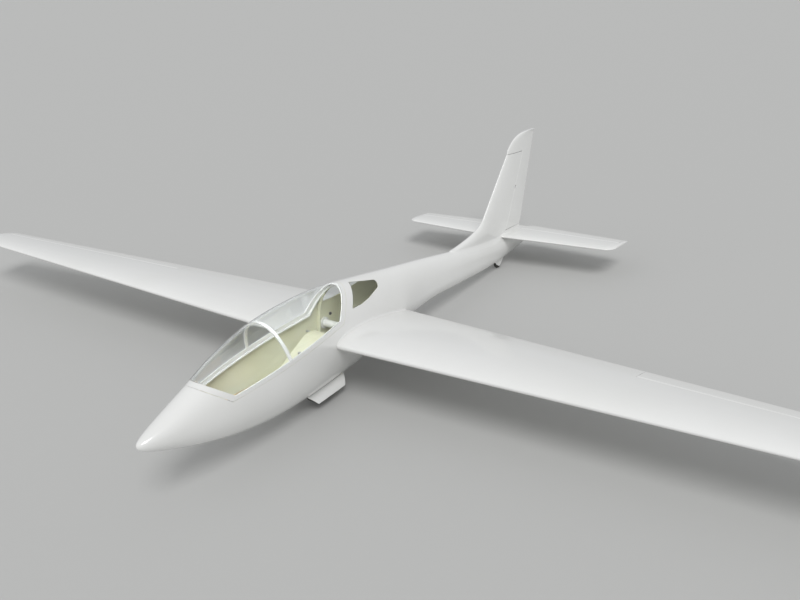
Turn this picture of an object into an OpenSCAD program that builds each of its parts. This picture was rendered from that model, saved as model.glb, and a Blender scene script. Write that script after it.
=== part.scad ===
// Radio controlled sailplane, quarter scale, millimetres.
// Shapes are drawn level: X forward from the nose tip, Y to the left, Z up from the wing's leading edge.
// place() then sets the model on its two wheels, nose up.

/* [Fuselage] */
// Thickness of the moulded shell
wall = 2; // [1.6:0.1:2.4]
// Solid length of the nose in front of the hollow
nose_block = 44; // [40:1:50]
// Thickness of the former plates
former_t = 4; // [3:0.5:5]
// Width of the cockpit sill
sill_w = 9; // [7:0.5:12]
// Thickness of the cockpit sill
sill_t = 3; // [2:0.5:4]

/* [Canopy] */
// Width of the white frame band
frame_band = 11; // [9:0.5:14]
// Thickness of the frame band
frame_t = 5; // [4:0.5:6]
// Thickness of the glass
glass_t = 1.2; // [0.8:0.1:1.6]
// Width of the hoop
hoop_w = 9; // [7:0.5:12]
// Diameter of the canopy hinge pins
canopy_pin_d = 3; // [2:0.5:4]

/* [Wing] */
// Wing span
span = 3500; // [3200:10:3800]
// Wing chord on the centre line
root_chord = 362; // [340:1:380]
// Wing chord at the tip
tip_chord = 145; // [130:1:160]
// Wing thickness as a share of the chord
wing_thick = 0.13; // [0.12:0.005:0.15]
// Dihedral angle of each panel
dihedral = 0.9; // [0.5:0.1:1.5]
// Inner end of the aileron from the centre line
aileron_in = 800; // [760:5:860]
// Distance of the aileron's outer end from the tip
aileron_tip = 55; // [50:5:90]
// Aileron chord as a share of the wing chord
aileron_share = 0.24; // [0.22:0.01:0.26]
// Diameter of the wing joiner rod
joiner_d = 18; // [14:1:20]
// Length of the joiner rod
joiner_len = 840; // [700:10:1000]
// Diameter of the root pins
root_pin_d = 6; // [4:0.5:8]

/* [Tail] */
// Span of the tailplane
tail_span = 830; // [780:5:880]
// Tailplane chord on the centre line
tail_root_chord = 208; // [195:1:220]
// Elevator chord on the centre line
elevator_chord = 82; // [76:1:88]
// Tailplane thickness as a share of the chord
tail_thick = 0.1; // [0.09:0.005:0.12]
// Diameter of the tail joiner tubes
tail_joiner_d = 8; // [6:0.5:9]
// Diameter of the elevator torque tube
torque_d = 7; // [6:0.5:8]

/* [Wheels] */
// Diameter of the main wheel
main_d = 90; // [84:1:96]
// Width of the main tyre
main_w = 32; // [28:1:34]
// Diameter of the main axle
main_axle_d = 6; // [5:0.5:8]
// Diameter of the tail wheel
tail_d = 40; // [34:1:44]
// Width of the tail wheel
tail_w = 12; // [10:1:14]
// Diameter of the tail axle
tail_axle_d = 4; // [3:0.5:5]

/* [Controls] */
// Radius of the servo arms and horns
arm_r = 16; // [14:0.5:18]
// Diameter of the linkage pins
link_pin_d = 2; // [1.5:0.1:2.5]
// Diameter of the pushrods
rod_d = 2.5; // [2:0.1:3]
// Diameter of the hinge pins
hinge_pin_d = 3; // [2:0.5:3.5]
// Diameter of the servo spindles
spindle_d = 5; // [4:0.5:6]
// Bore of the tow release
tow_bore = 6; // [5:0.5:7]

/* [Fits] */
// Gap between a moving piece and its neighbour
gap = 0.6; // [0.5:0.1:0.8]
// Gap between pieces that are glued or seated
seat = 0.3; // [0.2:0.05:0.4]
// Radial clearance of a running pin
run = 0.05; // [0.03:0.01:0.08]

/* [Hidden] */
$fn = 48;

white = [0.95, 0.95, 0.94];
fibre = [0.78, 0.77, 0.62];
ply = [0.83, 0.74, 0.55];
dark = [0.12, 0.12, 0.13];
steel = [0.7, 0.71, 0.73];

// Fuselage frames: distance from the nose, half width, top, bottom, height of the widest point
nose_frames = [[0, 1, -42, -44, -43], [25, 20, -23, -63, -41], [80, 37, 1, -82, -38],
  [160, 53, 38, -105, -34], [260, 69, 86, -125, -22], [380, 79, 123, -136, -8], [500, 79, 140, -132, -5],
  [620, 70, 145, -122, -3], [760, 60, 134, -104, -2], [920, 49, 118, -68, 3], [1100, 41, 101, -38, 10],
  [1300, 35, 80, -35, 10]];
// Leading edge of the tailplane's root, which the fin, the tail wheel and the rear frames follow
tail_le = -1589;
// Rear frames, by their distance behind it
tail_frames = [[-89, 29, 65, -32, 10], [61, 23, 58, -19, 16], [179, 14, 50, -4, 23]];
frames = concat(nose_frames, [for (f = tail_frames) f - [tail_le, 0, 0, 0, 0]]);
fuselage_end = frames[len(frames) - 1][0];
section_power = 2.15;
ring_n = 32;
frame_n = 34;
hollow_n = 28;
patch_n = 6;
canopy_n = 14;
// Half breadth past every skin, and how far a patch of skin is drawn past its edge
past_y = 120;
patch_past = 38;

// Canopy split in side view: front edge, sill line and rear edge, as [x, z]
canopy_front = [-158, 37];
canopy_corner = [-223, -10];
canopy_rear = [-625, 50];
canopy_top = [-682, 138];
hoop_low = [-409, 20];
hoop_high = [-378, 130];
// Corners of the quarter window as [x, z, radius]: the rear one is a wide round
window_corners = [[-680, 79, 3], [-713, 131, 4], [-807, 106, 11], [-755, 84, 3], [-716, 79, 3]];
window_in = 8;

// Wing planform and section
half_span = span / 2;
wing_le = -581;
wing_sweep = 0.018;
incidence = 1.5;
camber = 0.015;
foil_n = 14;
root_le_y = 75;
root_te_y = 54;
te_t = 1;
aileron_out = half_span - aileron_tip;
tube = [-690, 8];
tube_wall = 2;
root_pin_x = [-625, -830];
root_pin_len = 40;

// Tailplane
tail_z = 62;
tail_te = tail_le - tail_root_chord;
tail_le_slope = 0.0813;
tail_te_slope = 0.0715;
tail_root_y = 31;
elevator_x = tail_te + elevator_chord;
elevator_end = 12;
tail_joiner_back = [18, 66];
tail_joiner_x = [for (d = tail_joiner_back) tail_le - d];
tail_joiner_len = 240;
cone_back = 177;
cone_end = tail_le - cone_back;

// Fin, rudder and tail wheel in side view, as [distance behind the tailplane's leading edge, height]
function tail_at(p) = [tail_le - p[0], p[1]];
bevel_at = [162, 76];
hinge_at = [66, 127];
te_at = [177, 116];
fin_at = [-106, 153];
tail_wheel_at = [1, -35];
rudder_bevel = tail_at(bevel_at);
hinge_low = tail_at(hinge_at);
te_low = tail_at(te_at);
fin_le = tail_at(fin_at);
tail_c = tail_at(tail_wheel_at);
fin_top = 347;
horn_gap = 2;
rudder_low = 78;
hinge_slope = 0.446;
te_slope = 0.2625;
fin_le_slope = 0.808;
rudder_top = 417;
fin_foot = 85;
fin_low_t = 27;
fin_top_t = 12;

// Main gear
main_c = [-580, -127];
gear_pivot = [-487, -62];
gear_shaft_d = 8;
gear_swing = 48;
well_y = 31;
well_x = [-503, -657];
well_mid = [-527, -640];
door_open = 105;
door_t = 1.6;
box_in = 27;
stance = atan2(tail_c[1] - main_c[1], main_c[0] - tail_c[0])
  + asin((main_d - tail_d) / 2 / norm(tail_c - main_c));
lift = main_d / 2 - main_c[0] * sin(stance) - main_c[1] * cos(stance);
rear_tip = [te_low[0] - (rudder_top - te_low[1]) * te_slope, rudder_top];
mid_x = (rear_tip[0] * cos(stance) - (rear_tip[1] + frames[0][3]) * sin(stance)) / 2;

module place() {
  translate([-mid_x, 0, lift])
    rotate([0, -stance, 0])
      children();
}

// Keeps a free-form skin as one mesh
module skin() {
  resize([0, 0, 0])
    children();
}

module right_side() {
  mirror([0, 1, 0])
    children();
}

module both_sides() {
  children();
  right_side()
    children();
}

// A closed solid through rings of points
module loft(rings) {
  n = len(rings[0]);
  m = len(rings);
  sides = [for (j = [0:m - 2], i = [0:n - 1])
    each [[j * n + i, (j + 1) * n + i, (j + 1) * n + (i + 1) % n],
      [j * n + i, (j + 1) * n + (i + 1) % n, j * n + (i + 1) % n]]];
  first = [for (i = [0:n - 1]) i];
  last = [for (i = [n - 1:-1:0]) (m - 1) * n + i];
  polyhedron(points = [for (r = rings) each r], faces = concat([first], sides, [last]));
}

// A side-view outline of [x, z] points made solid from y0 to y1
module side_prism(outline, y0, y1) {
  translate([0, y1, 0])
    rotate([90, 0, 0])
      linear_extrude(y1 - y0)
        polygon(outline);
}

// A round bar along Y
module y_bar(p, d, y0, y1) {
  translate([p[0], y0, p[1]])
    rotate([-90, 0, 0])
      cylinder(d = d, h = y1 - y0);
}

// Smooth value of a frame column at distance s from the nose
function seg(s, i = 0) = (i >= len(frames) - 2 || s <= frames[i + 1][0]) ? i : seg(s, i + 1);
function root_s(i) = sqrt(frames[i][0]);
function slope(i, c) = let(a = max(i - 1, 0), b = min(i + 1, len(frames) - 1))
  (frames[b][c] - frames[a][c]) / (root_s(b) - root_s(a));
function at(s, c) = let(i = seg(s), h = root_s(i + 1) - root_s(i), t = (sqrt(s) - root_s(i)) / h)
  frames[i][c] * (2 * t ^ 3 - 3 * t ^ 2 + 1) + h * slope(i, c) * (t ^ 3 - 2 * t ^ 2 + t)
  + frames[i + 1][c] * (3 * t ^ 2 - 2 * t ^ 3) + h * slope(i + 1, c) * (t ^ 3 - t ^ 2);
function rounded(v) = sign(v) * abs(v) ^ (2 / section_power);

// Section points [y, z] at distance s, set in by d
function section(s, d = 0) = let(w = max(at(s, 1) - d, 0.5), mid = at(s, 4),
    up = max(at(s, 2) - d - mid, 0.5), down = max(mid - at(s, 3) - d, 0.5))
  [for (i = [0:ring_n - 1]) let(a = 360 * i / ring_n, r = sin(a))
    [w * rounded(cos(a)), mid + (r >= 0 ? up : down) * rounded(r)]];

// Height of the belly at distance s and half breadth y
function belly(s, y) = let(k = 1 - (y / at(s, 1)) ^ section_power)
  at(s, 4) - (at(s, 4) - at(s, 3)) * k ^ (1 / section_power);

module body(d = 0, s0 = 0, s1 = fuselage_end, n = frame_n) {
  loft([for (i = [n:-1:0]) let(s = s0 + (s1 - s0) * (i / n) ^ (s0 > 0 ? 1 : 1.5))
    [for (p = section(s, d)) [-s, p[0], p[1]]]]);
}

module hollow(d = wall) {
  body(d, nose_block, fuselage_end - former_t, hollow_n);
}

// Canopy split grown by g: past the skin at the top
function ahead(a, b, z) = a[0] + (b[0] - a[0]) * (z - a[1]) / (b[1] - a[1]);
function canopy_outline(g) = let(high = 220)
  [[ahead(canopy_corner, canopy_front, high) + g, high],
    [canopy_corner[0] + g, canopy_corner[1] - g],
    [canopy_rear[0] - g, canopy_rear[1] - g],
    [ahead(canopy_rear, canopy_top, high) - g, high]];

module canopy_space(g) {
  side_prism(canopy_outline(g), -past_y, past_y);
}

// Wing section: points [share of chord, height share], upper side back to front, then lower side
function half_thick(u, t) = 5 * t
  * (0.2969 * sqrt(u) - 0.126 * u - 0.3516 * u ^ 2 + 0.2843 * u ^ 3 - 0.1036 * u ^ 4);
function arch(u, m) = u < 0.4 ? m / 0.16 * (0.8 * u - u ^ 2) : m / 0.36 * (0.2 + 0.8 * u - u ^ 2);
function share(i) = (1 + cos(180 * i / foil_n)) / 2;
function foil(c, t, m) = concat(
  [for (i = [0:foil_n]) let(u = share(i)) [u * c, (arch(u, m) + half_thick(u, t)) * c + te_t / 2 * u]],
  [for (i = [foil_n - 1:-1:0]) let(u = share(i))
    [u * c, (arch(u, m) - half_thick(u, t)) * c - te_t / 2 * u]]);

// Wing: leading edge, chord and height at half breadth y
function wing_chord(y) = root_chord + (tip_chord - root_chord) * y / half_span;
function wing_front(y) = wing_le - wing_sweep * y;
function wing_up(y) = y * tan(dihedral);
function wing_point(y, p) = [wing_front(y) - p[0], y, wing_up(y) - p[0] * tan(incidence) + p[1]];
function wing_ring(y) = [for (p = foil(wing_chord(y), wing_thick, camber)) wing_point(y, p)];

// The tip closes over these shares of its chord: [inset from tip, front cut, rear cut, thickness]
tip_steps = [[40, 0, 0, 1], [22, 0.05, 0.01, 0.95], [9, 0.15, 0.05, 0.75], [2, 0.3, 0.13, 0.45],
  [0, 0.4, 0.22, 0.2]];
function tip_ring(k) = let(y = half_span - k[0], c = wing_chord(y))
  [for (p = foil(c * (1 - k[1] - k[2]), wing_thick * k[3], camber * k[3]))
    wing_point(y, [p[0] + k[1] * c, p[1]])];

module wing_solid(y0) {
  loft(concat([wing_ring(y0)], [for (k = tip_steps) tip_ring(k)]));
}

// Outline seen from above of the side outboard of the wing root, moved out by g
module root_side(g, reach) {
  past = 60;
  slope = (root_le_y - root_te_y) / (root_chord - 6);
  x0 = wing_le + past;
  x1 = wing_le - root_chord - past;
  translate([0, 0, -100])
    linear_extrude(250)
      polygon([[x0, root_le_y + g + slope * past], [x1, root_te_y + g - slope * past], [x1, reach],
        [x0, reach]]);
}

// Aileron hinge: share of chord, half thickness there and the axis point
hinge_u = 1 - aileron_share;
function hinge_r(y) = half_thick(hinge_u, wing_thick) * wing_chord(y) + te_t / 2 * hinge_u;
function aileron_axis(y) = wing_point(y, [hinge_u * wing_chord(y), arch(hinge_u, camber) * wing_chord(y)]);
aileron_dir = (aileron_axis(aileron_out) - aileron_axis(aileron_in))
  / norm(aileron_axis(aileron_out) - aileron_axis(aileron_in));
nose_n = 8;

function aileron_ring(y) = let(c = wing_chord(y), o = aileron_axis(y), r = hinge_r(y))
  concat([for (i = [nose_n:-1:-nose_n]) let(a = 90 * i / nose_n) o + [r * cos(a), 0, r * sin(a)]],
    [for (k = [1:4]) let(u = hinge_u + aileron_share * k / 4)
      wing_point(y, [u * c, (arch(u, camber) - half_thick(u, wing_thick)) * c - te_t / 2 * u])],
    [for (k = [4:-1:1]) let(u = hinge_u + aileron_share * k / 4)
      wing_point(y, [u * c, (arch(u, camber) + half_thick(u, wing_thick)) * c + te_t / 2 * u])]);

// The space that the aileron turns in: a round cove and everything behind it
lip = 60;
function cove_ring(o, r, back, high) = concat(
  [o + [-back, 0, high], o + [r * cos(lip), 0, high]],
  [for (i = [nose_n:-1:-nose_n]) let(a = lip * i / nose_n) o + [r * cos(a), 0, r * sin(a)]],
  [o + [r * cos(lip), 0, -high], o + [-back, 0, -high]]);

aileron_end_gap = 1.2;

module aileron_cove() {
  loft([for (y = [aileron_in - aileron_end_gap, aileron_out + aileron_end_gap])
    cove_ring(aileron_axis(y), hinge_r(y) + gap, 120, 40)]);
}

// Local frame on an axis: X forward across it, Y along it
module on_axis(o, k, up = [0, 0, 1]) {
  n = (up - (up * k) * k) / norm(up - (up * k) * k);
  f = cross(k, n);
  multmatrix([for (i = [0:2]) [f[i], k[i], n[i], o[i]]])
    children();
}

// Linkage in a local frame: an arm and an equal horn hang down from two parallel pivots
arm_t = 2;
eye_t = 3;
eye_d = 6;
eye_gap = 0.4;
open_eye = 0.4;
boss_d = 9;

module lever(bore = 0) {
  difference() {
    union() {
      rotate([-90, 0, 0])
        cylinder(d = boss_d, h = arm_t);
      translate([-eye_d / 2, 0, -arm_r])
        cube([eye_d, arm_t, arm_r]);
      translate([0, 0, -arm_r])
        rotate([-90, 0, 0])
          cylinder(d = eye_d, h = arm_t);
    }
    if (bore > 0)
      translate([0, -1, 0])
        rotate([-90, 0, 0])
          cylinder(d = bore, h = arm_t + 2);
  }
  translate([0, arm_t / 2, -arm_r])
    rotate([-90, 0, 0])
      cylinder(d = link_pin_d, h = arm_t / 2 + eye_gap + eye_t + 1);
}

// A pushrod from the arm's pin, at p, back to the horn's pin
module pushrod(p) {
  back = norm(p);
  tilt = atan2(p[1], p[0]);
  translate([p[0], arm_t + eye_gap, p[1] - arm_r])
    rotate([0, 180 - tilt, 0])
      difference() {
        union() {
          for (x = [0, back])
            translate([x, 0, 0])
              rotate([-90, 0, 0])
                cylinder(d = eye_d, h = eye_t);
          translate([eye_d / 2 - 1, eye_t / 2, 0])
            rotate([0, 90, 0])
              cylinder(d = rod_d, h = back - eye_d + 2);
        }
        for (e = [[0, run], [back, open_eye]])
          translate([e[0], -1, 0])
            rotate([-90, 0, 0])
              cylinder(r = link_pin_d / 2 + e[1], h = eye_t + 2);
      }
}

// A servo whose spindle runs along Y at the local origin
servo = [40, 20, 20];
servo_off = 10;
spindle_len = 3;

module servo_body(size = servo) {
  translate([-size[0] / 2 + servo_off, -size[1] - spindle_len, -size[2] / 2])
    cube(size);
  translate([0, -spindle_len, 0])
    rotate([-90, 0, 0])
      cylinder(d = spindle_d, h = spindle_len + arm_t);
}

// Aileron linkage: place along the span, arm pivot ahead of and below the hinge
link_y = 1150;
link_p = [74, -2];
flat_servo = [32, 26, 12];
cover = [58, 48, 1.5];
cover_edge = 14;
cover_z = -8.5;
link_o = aileron_axis(link_y);

module on_aileron() {
  on_axis(link_o, aileron_dir)
    children();
}

module on_arm() {
  translate([link_p[0], 0, link_p[1]])
    children();
}

// Pocket for the servo, open below
module servo_pocket(g) {
  on_aileron()
    on_arm()
      translate([servo_off - cover[0] / 2 - g, cover_edge - cover[1] - g, -40])
        cube([cover[0] + 2 * g, cover[1] + 2 * g, 40 + flat_servo[2] / 2 + 1]);
}

module wing_panel() {
  skin()
    difference() {
      intersection() {
        wing_solid(40);
        root_side(gap, half_span + 10);
      }
      aileron_cove();
      y_bar(tube, joiner_d + 2 * seat, 0, joiner_len / 2 + 2);
      for (x = root_pin_x)
        y_bar([x, root_pin_z(x)], root_pin_d + 2 * seat, 0, root_le_y + root_pin_len / 2 + 2);
      servo_pocket(seat);
      horn_slot();
      hinge_holes();
    }
}

// Height of the wing's middle line near the root
function root_pin_z(x) = let(u = (wing_le - x) / root_chord)
  (arch(u, camber) - u * tan(incidence)) * root_chord + wing_up(root_le_y);

// Hinge pins stand in the ends of the aileron's cut-out
pin_seat = 12;
pin_reach = 14;

module aileron_pin_at(y, out, d, extra = 0) {
  on_axis(aileron_axis(y), aileron_dir)
    translate([0, out > 0 ? -pin_reach : -pin_seat - extra, 0])
      rotate([-90, 0, 0])
        cylinder(d = d, h = pin_seat + pin_reach + extra);
}

module hinge_holes() {
  aileron_pin_at(aileron_in, -1, hinge_pin_d + 2 * seat, 1);
  aileron_pin_at(aileron_out, 1, hinge_pin_d + 2 * seat, 1);
}

bush_d = hinge_pin_d + 2.4;
bush_len = 12;

module aileron_bush_at(y, out, d, h) {
  on_axis(aileron_axis(y), aileron_dir)
    translate([0, out > 0 ? -h - aileron_end_gap : aileron_end_gap, 0])
      rotate([-90, 0, 0])
        cylinder(d = d, h = h);
}

module aileron_panel() {
  skin()
    difference() {
      loft([for (y = [aileron_in, aileron_out]) aileron_ring(y)]);
      aileron_bush_at(aileron_in - 4, -1, bush_d + 2 * seat, bush_len + 8);
      aileron_bush_at(aileron_out + 4, 1, bush_d + 2 * seat, bush_len + 8);
      on_aileron()
        horn_block(seat);
    }
}

// The horn's foot, let into the aileron
horn_foot = [12, 6];

module horn_block(g) {
  translate([eye_d / 2 - horn_foot[0] - g, -g, -20])
    cube([horn_foot[0] + 2 * g, horn_foot[1] + 2 * g, 20 + 2 + g]);
}

// Slot in the wing's lower skin for the horn's swing
module horn_slot() {
  on_aileron()
    translate([-2, -1.2, -30])
      cube([24, arm_t + eye_gap + eye_t + 4, 30]);
}

module aileron_fittings() {
  for (e = [[aileron_in, -1], [aileron_out, 1]])
    difference() {
      aileron_bush_at(e[0], e[1], bush_d, bush_len);
      aileron_pin_at(e[0], e[1], hinge_pin_d + 2 * run, 1);
    }
  on_aileron()
    horn();
}

// Horn plate with its foot and pin, no bore
module horn() {
  translate([eye_d / 2 - horn_foot[0], 0, -hinge_r(link_y) + 1])
    cube([horn_foot[0], horn_foot[1], hinge_r(link_y) + 1]);
  difference() {
    translate([-eye_d / 2, 0, -arm_r])
      cube([eye_d, arm_t, arm_r - 2]);
    translate([-eye_d / 2 - 1, -1, -hinge_r(link_y) + 1])
      cube([eye_d + 2, arm_t + 2, 20]);
  }
  translate([0, 0, -arm_r])
    rotate([-90, 0, 0])
      cylinder(d = link_pin_d, h = arm_t + eye_gap + eye_t + 1);
}

// Fin section at height z
function hinge_x(z) = hinge_low[0] - hinge_slope * (z - hinge_low[1]);
function te_x(z) = te_low[0] - te_slope * (z - te_low[1]);
function fin_front(z) = let(k = (fin_le[1] - z) / (fin_le[1] - fin_foot))
  z >= fin_le[1] ? fin_le[0] - fin_le_slope * (z - fin_le[1]) : fin_le[0] + 55 * k + 166 * k ^ 3;
function fin_thick(z) = fin_low_t + (fin_top_t - fin_low_t) * (z - fin_foot) / (rudder_top - fin_foot);
function fin_half(u, z) = half_thick(u, 1) * fin_thick(z) + te_t / 2 * u;
function flat_foil(front, rear, z) = let(c = front - rear) concat(
  [for (i = [0:foil_n]) let(u = share(i)) [front - u * c, fin_half(u, z), z]],
  [for (i = [foil_n - 1:-1:0]) let(u = share(i)) [front - u * c, -fin_half(u, z), z]]);
function rudder_r(z) = fin_half((fin_front(z) - hinge_x(z)) / (fin_front(z) - te_x(z)), z);

module fin_solid() {
  loft([for (z = [fin_top, 300, 250, 200, 153, 136, 120, 106, 94, fin_foot, 70, 50])
    flat_foil(fin_front(max(z, fin_foot)), te_x(z), z)]);
}

function upright_cove(z, r, back) = concat(
  [[hinge_x(z) - back, 60, z], [hinge_x(z) + r * cos(lip), 60, z]],
  [for (i = [nose_n:-1:-nose_n]) let(a = lip * i / nose_n) [hinge_x(z) + r * cos(a), r * sin(a), z]],
  [[hinge_x(z) + r * cos(lip), -60, z], [hinge_x(z) - back, -60, z]]);

rudder_gap = 1;

module rudder_cove() {
  loft([for (z = [fin_top + 10, 300, 250, 200, 150, 110, rudder_low - horn_gap])
    upright_cove(z, rudder_r(z) + rudder_gap, 200)]);
}

function rudder_ring(z) = let(h = hinge_x(z), r = rudder_r(z), f = fin_front(z), c = f - te_x(z),
    u0 = (f - h) / c)
  concat([for (i = [nose_n:-1:-nose_n]) let(a = 90 * i / nose_n) [h + r * cos(a), r * sin(a), z]],
    [for (k = [1:5]) let(u = u0 + (1 - u0) * k / 5) [f - u * c, -fin_half(u, z), z]],
    [for (k = [5:-1:1]) let(u = u0 + (1 - u0) * k / 5) [f - u * c, fin_half(u, z), z]]);

// Front edge of the horn balance above the fin: height, distance behind the tailplane's leading edge
horn_front = [[fin_top, 51], [361, 57], [375, 70], [387, 86], [397, 103], [405, 124], [411, 147], [415, 181],
  [rudder_top, 249]];

module rudder() {
  color(white) place() skin() difference() {
    union() {
      loft([for (z = [fin_top + horn_gap + 3, 300, 250, 200, 150, 110, rudder_low]) rudder_ring(z)]);
      loft([for (k = [len(horn_front) - 1:-1:0]) let(z = k == 0 ? fin_top + horn_gap : horn_front[k][0])
        flat_foil(tail_le - horn_front[k][1], te_x(z), z)]);
    }
    side_prism([rudder_bevel + [0, -10], rudder_bevel, te_low, te_low + [-40, 0], rudder_bevel + [-60, -10]],
      -40, 40);
    rudder_pivot(-4, tube_up + 2, tube_d + 2 * seat);
    on_rudder(rudder_hinge_z) {
      y_bar([0, 0], bush_d + 2 * seat, -notch / 2 - rudder_bush - 1, notch / 2 + rudder_bush + 1);
      translate([-bush_d / 2 - 2, -notch / 2, -20])
        cube([40, notch, 40]);
    }
  }
}

// Rudder axis frame: local Y runs up the hinge line, local X forward across it
rudder_k = [-sin(atan(hinge_slope)), 0, cos(atan(hinge_slope))];
tube_d = 6;
tube_up = 26;
rudder_link_z = 1;
rudder_rod = 60;
rudder_hinge_z = 225;
notch = 10;
rudder_bush = 10;
bracket_reach = rudder_r(rudder_hinge_z) + rudder_gap + 8;

module on_rudder(z) {
  on_axis([hinge_x(z), 0, z], rudder_k, [0, -1, 0])
    children();
}

// Frame of the rudder's linkage: local Y runs down the hinge line
module on_rudder_link() {
  on_axis([hinge_x(rudder_link_z), 0, rudder_link_z], -rudder_k, [0, 1, 0])
    children();
}

// A bar on the rudder's axis from a to b above the rudder's lower edge
module rudder_pivot(a, b, d) {
  on_rudder(rudder_low)
    y_bar([0, 0], d, a, b);
}

rudder_drop = (rudder_low - rudder_link_z) / rudder_k[2];

module rudder_torque_tube() {
  color(steel) place() {
    rudder_pivot(-rudder_drop, tube_up, tube_d);
    on_rudder_link()
      lever();
    on_rudder(rudder_hinge_z)
      for (y = [notch / 2, -notch / 2 - rudder_bush])
        difference() {
          y_bar([0, 0], bush_d, y, y + rudder_bush);
          y_bar([0, 0], hinge_pin_d + 2 * run, y - 1, y + rudder_bush + 1);
        }
  }
}

// Fixed bracket that holds the rudder's upper pin
module rudder_bracket(g) {
  on_rudder(rudder_hinge_z)
    translate([0, -notch / 2 + 1.5 - g, -1.5 - g])
      cube([bracket_reach + g, notch - 3 + 2 * g, 3 + 2 * g]);
}

small_servo = [24, 20, 12];

module rudder_servo() {
  color(dark) place()
    on_rudder_link()
      translate([rudder_rod, 0, 0])
        servo_body(small_servo);
}

module rudder_servo_arm() {
  color(white) place()
    on_rudder_link()
      translate([rudder_rod, 0, 0])
        lever(spindle_d + 2 * run);
}

module rudder_pushrod() {
  color(steel) place()
    on_rudder_link()
      pushrod([rudder_rod, 0]);
}

// Tailplane: section rings out to half breadth y
half_tail = tail_span / 2;
function tail_front(y) = tail_le - tail_le_slope * y;
function tail_back(y) = tail_te + tail_te_slope * y;
function tail_chord(y) = tail_front(y) - tail_back(y);
function tail_ring(y, cut = 0, thin = 1) = let(c = tail_chord(y), f = tail_front(y) - cut * c)
  [for (p = foil(c * (1 - cut), tail_thick * thin, 0)) [f - p[0], y, tail_z + p[1]]];
tail_tip = [[24, 0, 1], [12, 0.04, 0.95], [4, 0.13, 0.75], [0, 0.24, 0.35]];

module tail_solid(y0) {
  loft(concat([tail_ring(y0)], [for (k = tail_tip) tail_ring(half_tail - k[0], k[1], k[2])]));
}

function elevator_u(y) = (tail_front(y) - elevator_x) / tail_chord(y);
function tail_half(u, y) = half_thick(u, tail_thick) * tail_chord(y) + te_t / 2;
function elevator_r(y) = tail_half(elevator_u(y), y);
function elevator_ring(y) = let(f = tail_front(y), c = tail_chord(y), u0 = elevator_u(y), r = elevator_r(y))
  concat([for (i = [nose_n:-1:-nose_n]) let(a = 90 * i / nose_n)
      [elevator_x + r * cos(a), y, tail_z + r * sin(a)]],
    [for (k = [1:4]) let(u = u0 + (1 - u0) * k / 4) [f - u * c, y, tail_z - tail_half(u, y)]],
    [for (k = [4:-1:1]) let(u = u0 + (1 - u0) * k / 4) [f - u * c, y, tail_z + tail_half(u, y)]]);

elevator_in = tail_root_y + 1;
elevator_out = half_tail - elevator_end;

module elevator_cove() {
  loft([for (y = [tail_root_y - 20, elevator_out + 1])
    cove_ring([elevator_x, y, tail_z], elevator_r(max(y, tail_root_y)) + gap, 120, 40)]);
}

module tail_panel() {
  skin()
    difference() {
      tail_solid(tail_root_y + gap);
      elevator_cove();
      for (x = tail_joiner_x)
        y_bar([x, tail_z], tail_joiner_d + 2 * seat, 0, tail_joiner_len / 2 + 2);
      y_bar([elevator_x, tail_z], hinge_pin_d + 2 * seat, elevator_out - 20, elevator_out + 9);
    }
}

module elevator_panel() {
  skin()
    difference() {
      loft([for (y = [elevator_in, (elevator_in + elevator_out) / 2, elevator_out]) elevator_ring(y)]);
      y_bar([elevator_x, tail_z], torque_d + 2 * seat, 0, torque_reach + 2);
      y_bar([elevator_x, tail_z], bush_d + 2 * seat, elevator_out - bush_len - 3, elevator_out + 5);
    }
}

torque_reach = 90;
elevator_link = [296, -40];
elevator_link_y = 6;

module on_elevator() {
  translate([elevator_x, elevator_link_y, tail_z])
    children();
}

module elevator_torque_tube() {
  color(steel) place() {
    y_bar([elevator_x, tail_z], torque_d, -torque_reach, torque_reach);
    on_elevator()
      lever();
    both_sides()
      difference() {
        y_bar([elevator_x, tail_z], bush_d, elevator_out - bush_len - 1, elevator_out - 1);
        y_bar([elevator_x, tail_z], hinge_pin_d + 2 * run, elevator_out - bush_len - 3, elevator_out + 1);
      }
  }
}

module elevator_servo() {
  color(dark) place()
    on_elevator()
      translate([elevator_link[0], 0, elevator_link[1]])
        servo_body();
}

module elevator_servo_arm() {
  color(white) place()
    on_elevator()
      translate([elevator_link[0], 0, elevator_link[1]])
        lever(spindle_d + 2 * run);
}

module elevator_pushrod() {
  color(steel) place()
    on_elevator()
      pushrod(elevator_link);
}

// Fixed pins that the ailerons, elevators and rudder turn on
module hinge_pins() {
  color(steel) place() {
    both_sides() {
      aileron_pin_at(aileron_in, -1, hinge_pin_d);
      aileron_pin_at(aileron_out, 1, hinge_pin_d);
      y_bar([elevator_x, tail_z], hinge_pin_d, elevator_out - bush_len, elevator_out + 8);
    }
    rudder_bracket(0);
    on_rudder(rudder_hinge_z) {
      y_bar([0, 0], bush_d + 1, -notch / 2 + 1, notch / 2 - 1);
      y_bar([0, 0], hinge_pin_d, -notch / 2 - rudder_bush + 1, notch / 2 + rudder_bush - 1);
    }
  }
}

// Fuselage shell with its fin and the fairings of wing and tail
module shell_solid() {
  body();
  fin_solid();
  both_sides()
    difference() {
      loft([for (y = [0, 40, 85]) wing_ring(y)]);
      root_side(0, 200);
    }
  both_sides()
    intersection() {
      loft([for (y = [0, tail_root_y]) tail_ring(y)]);
      translate([cone_end, -50, 0])
        cube([200, 100, 100]);
    }
}

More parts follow.
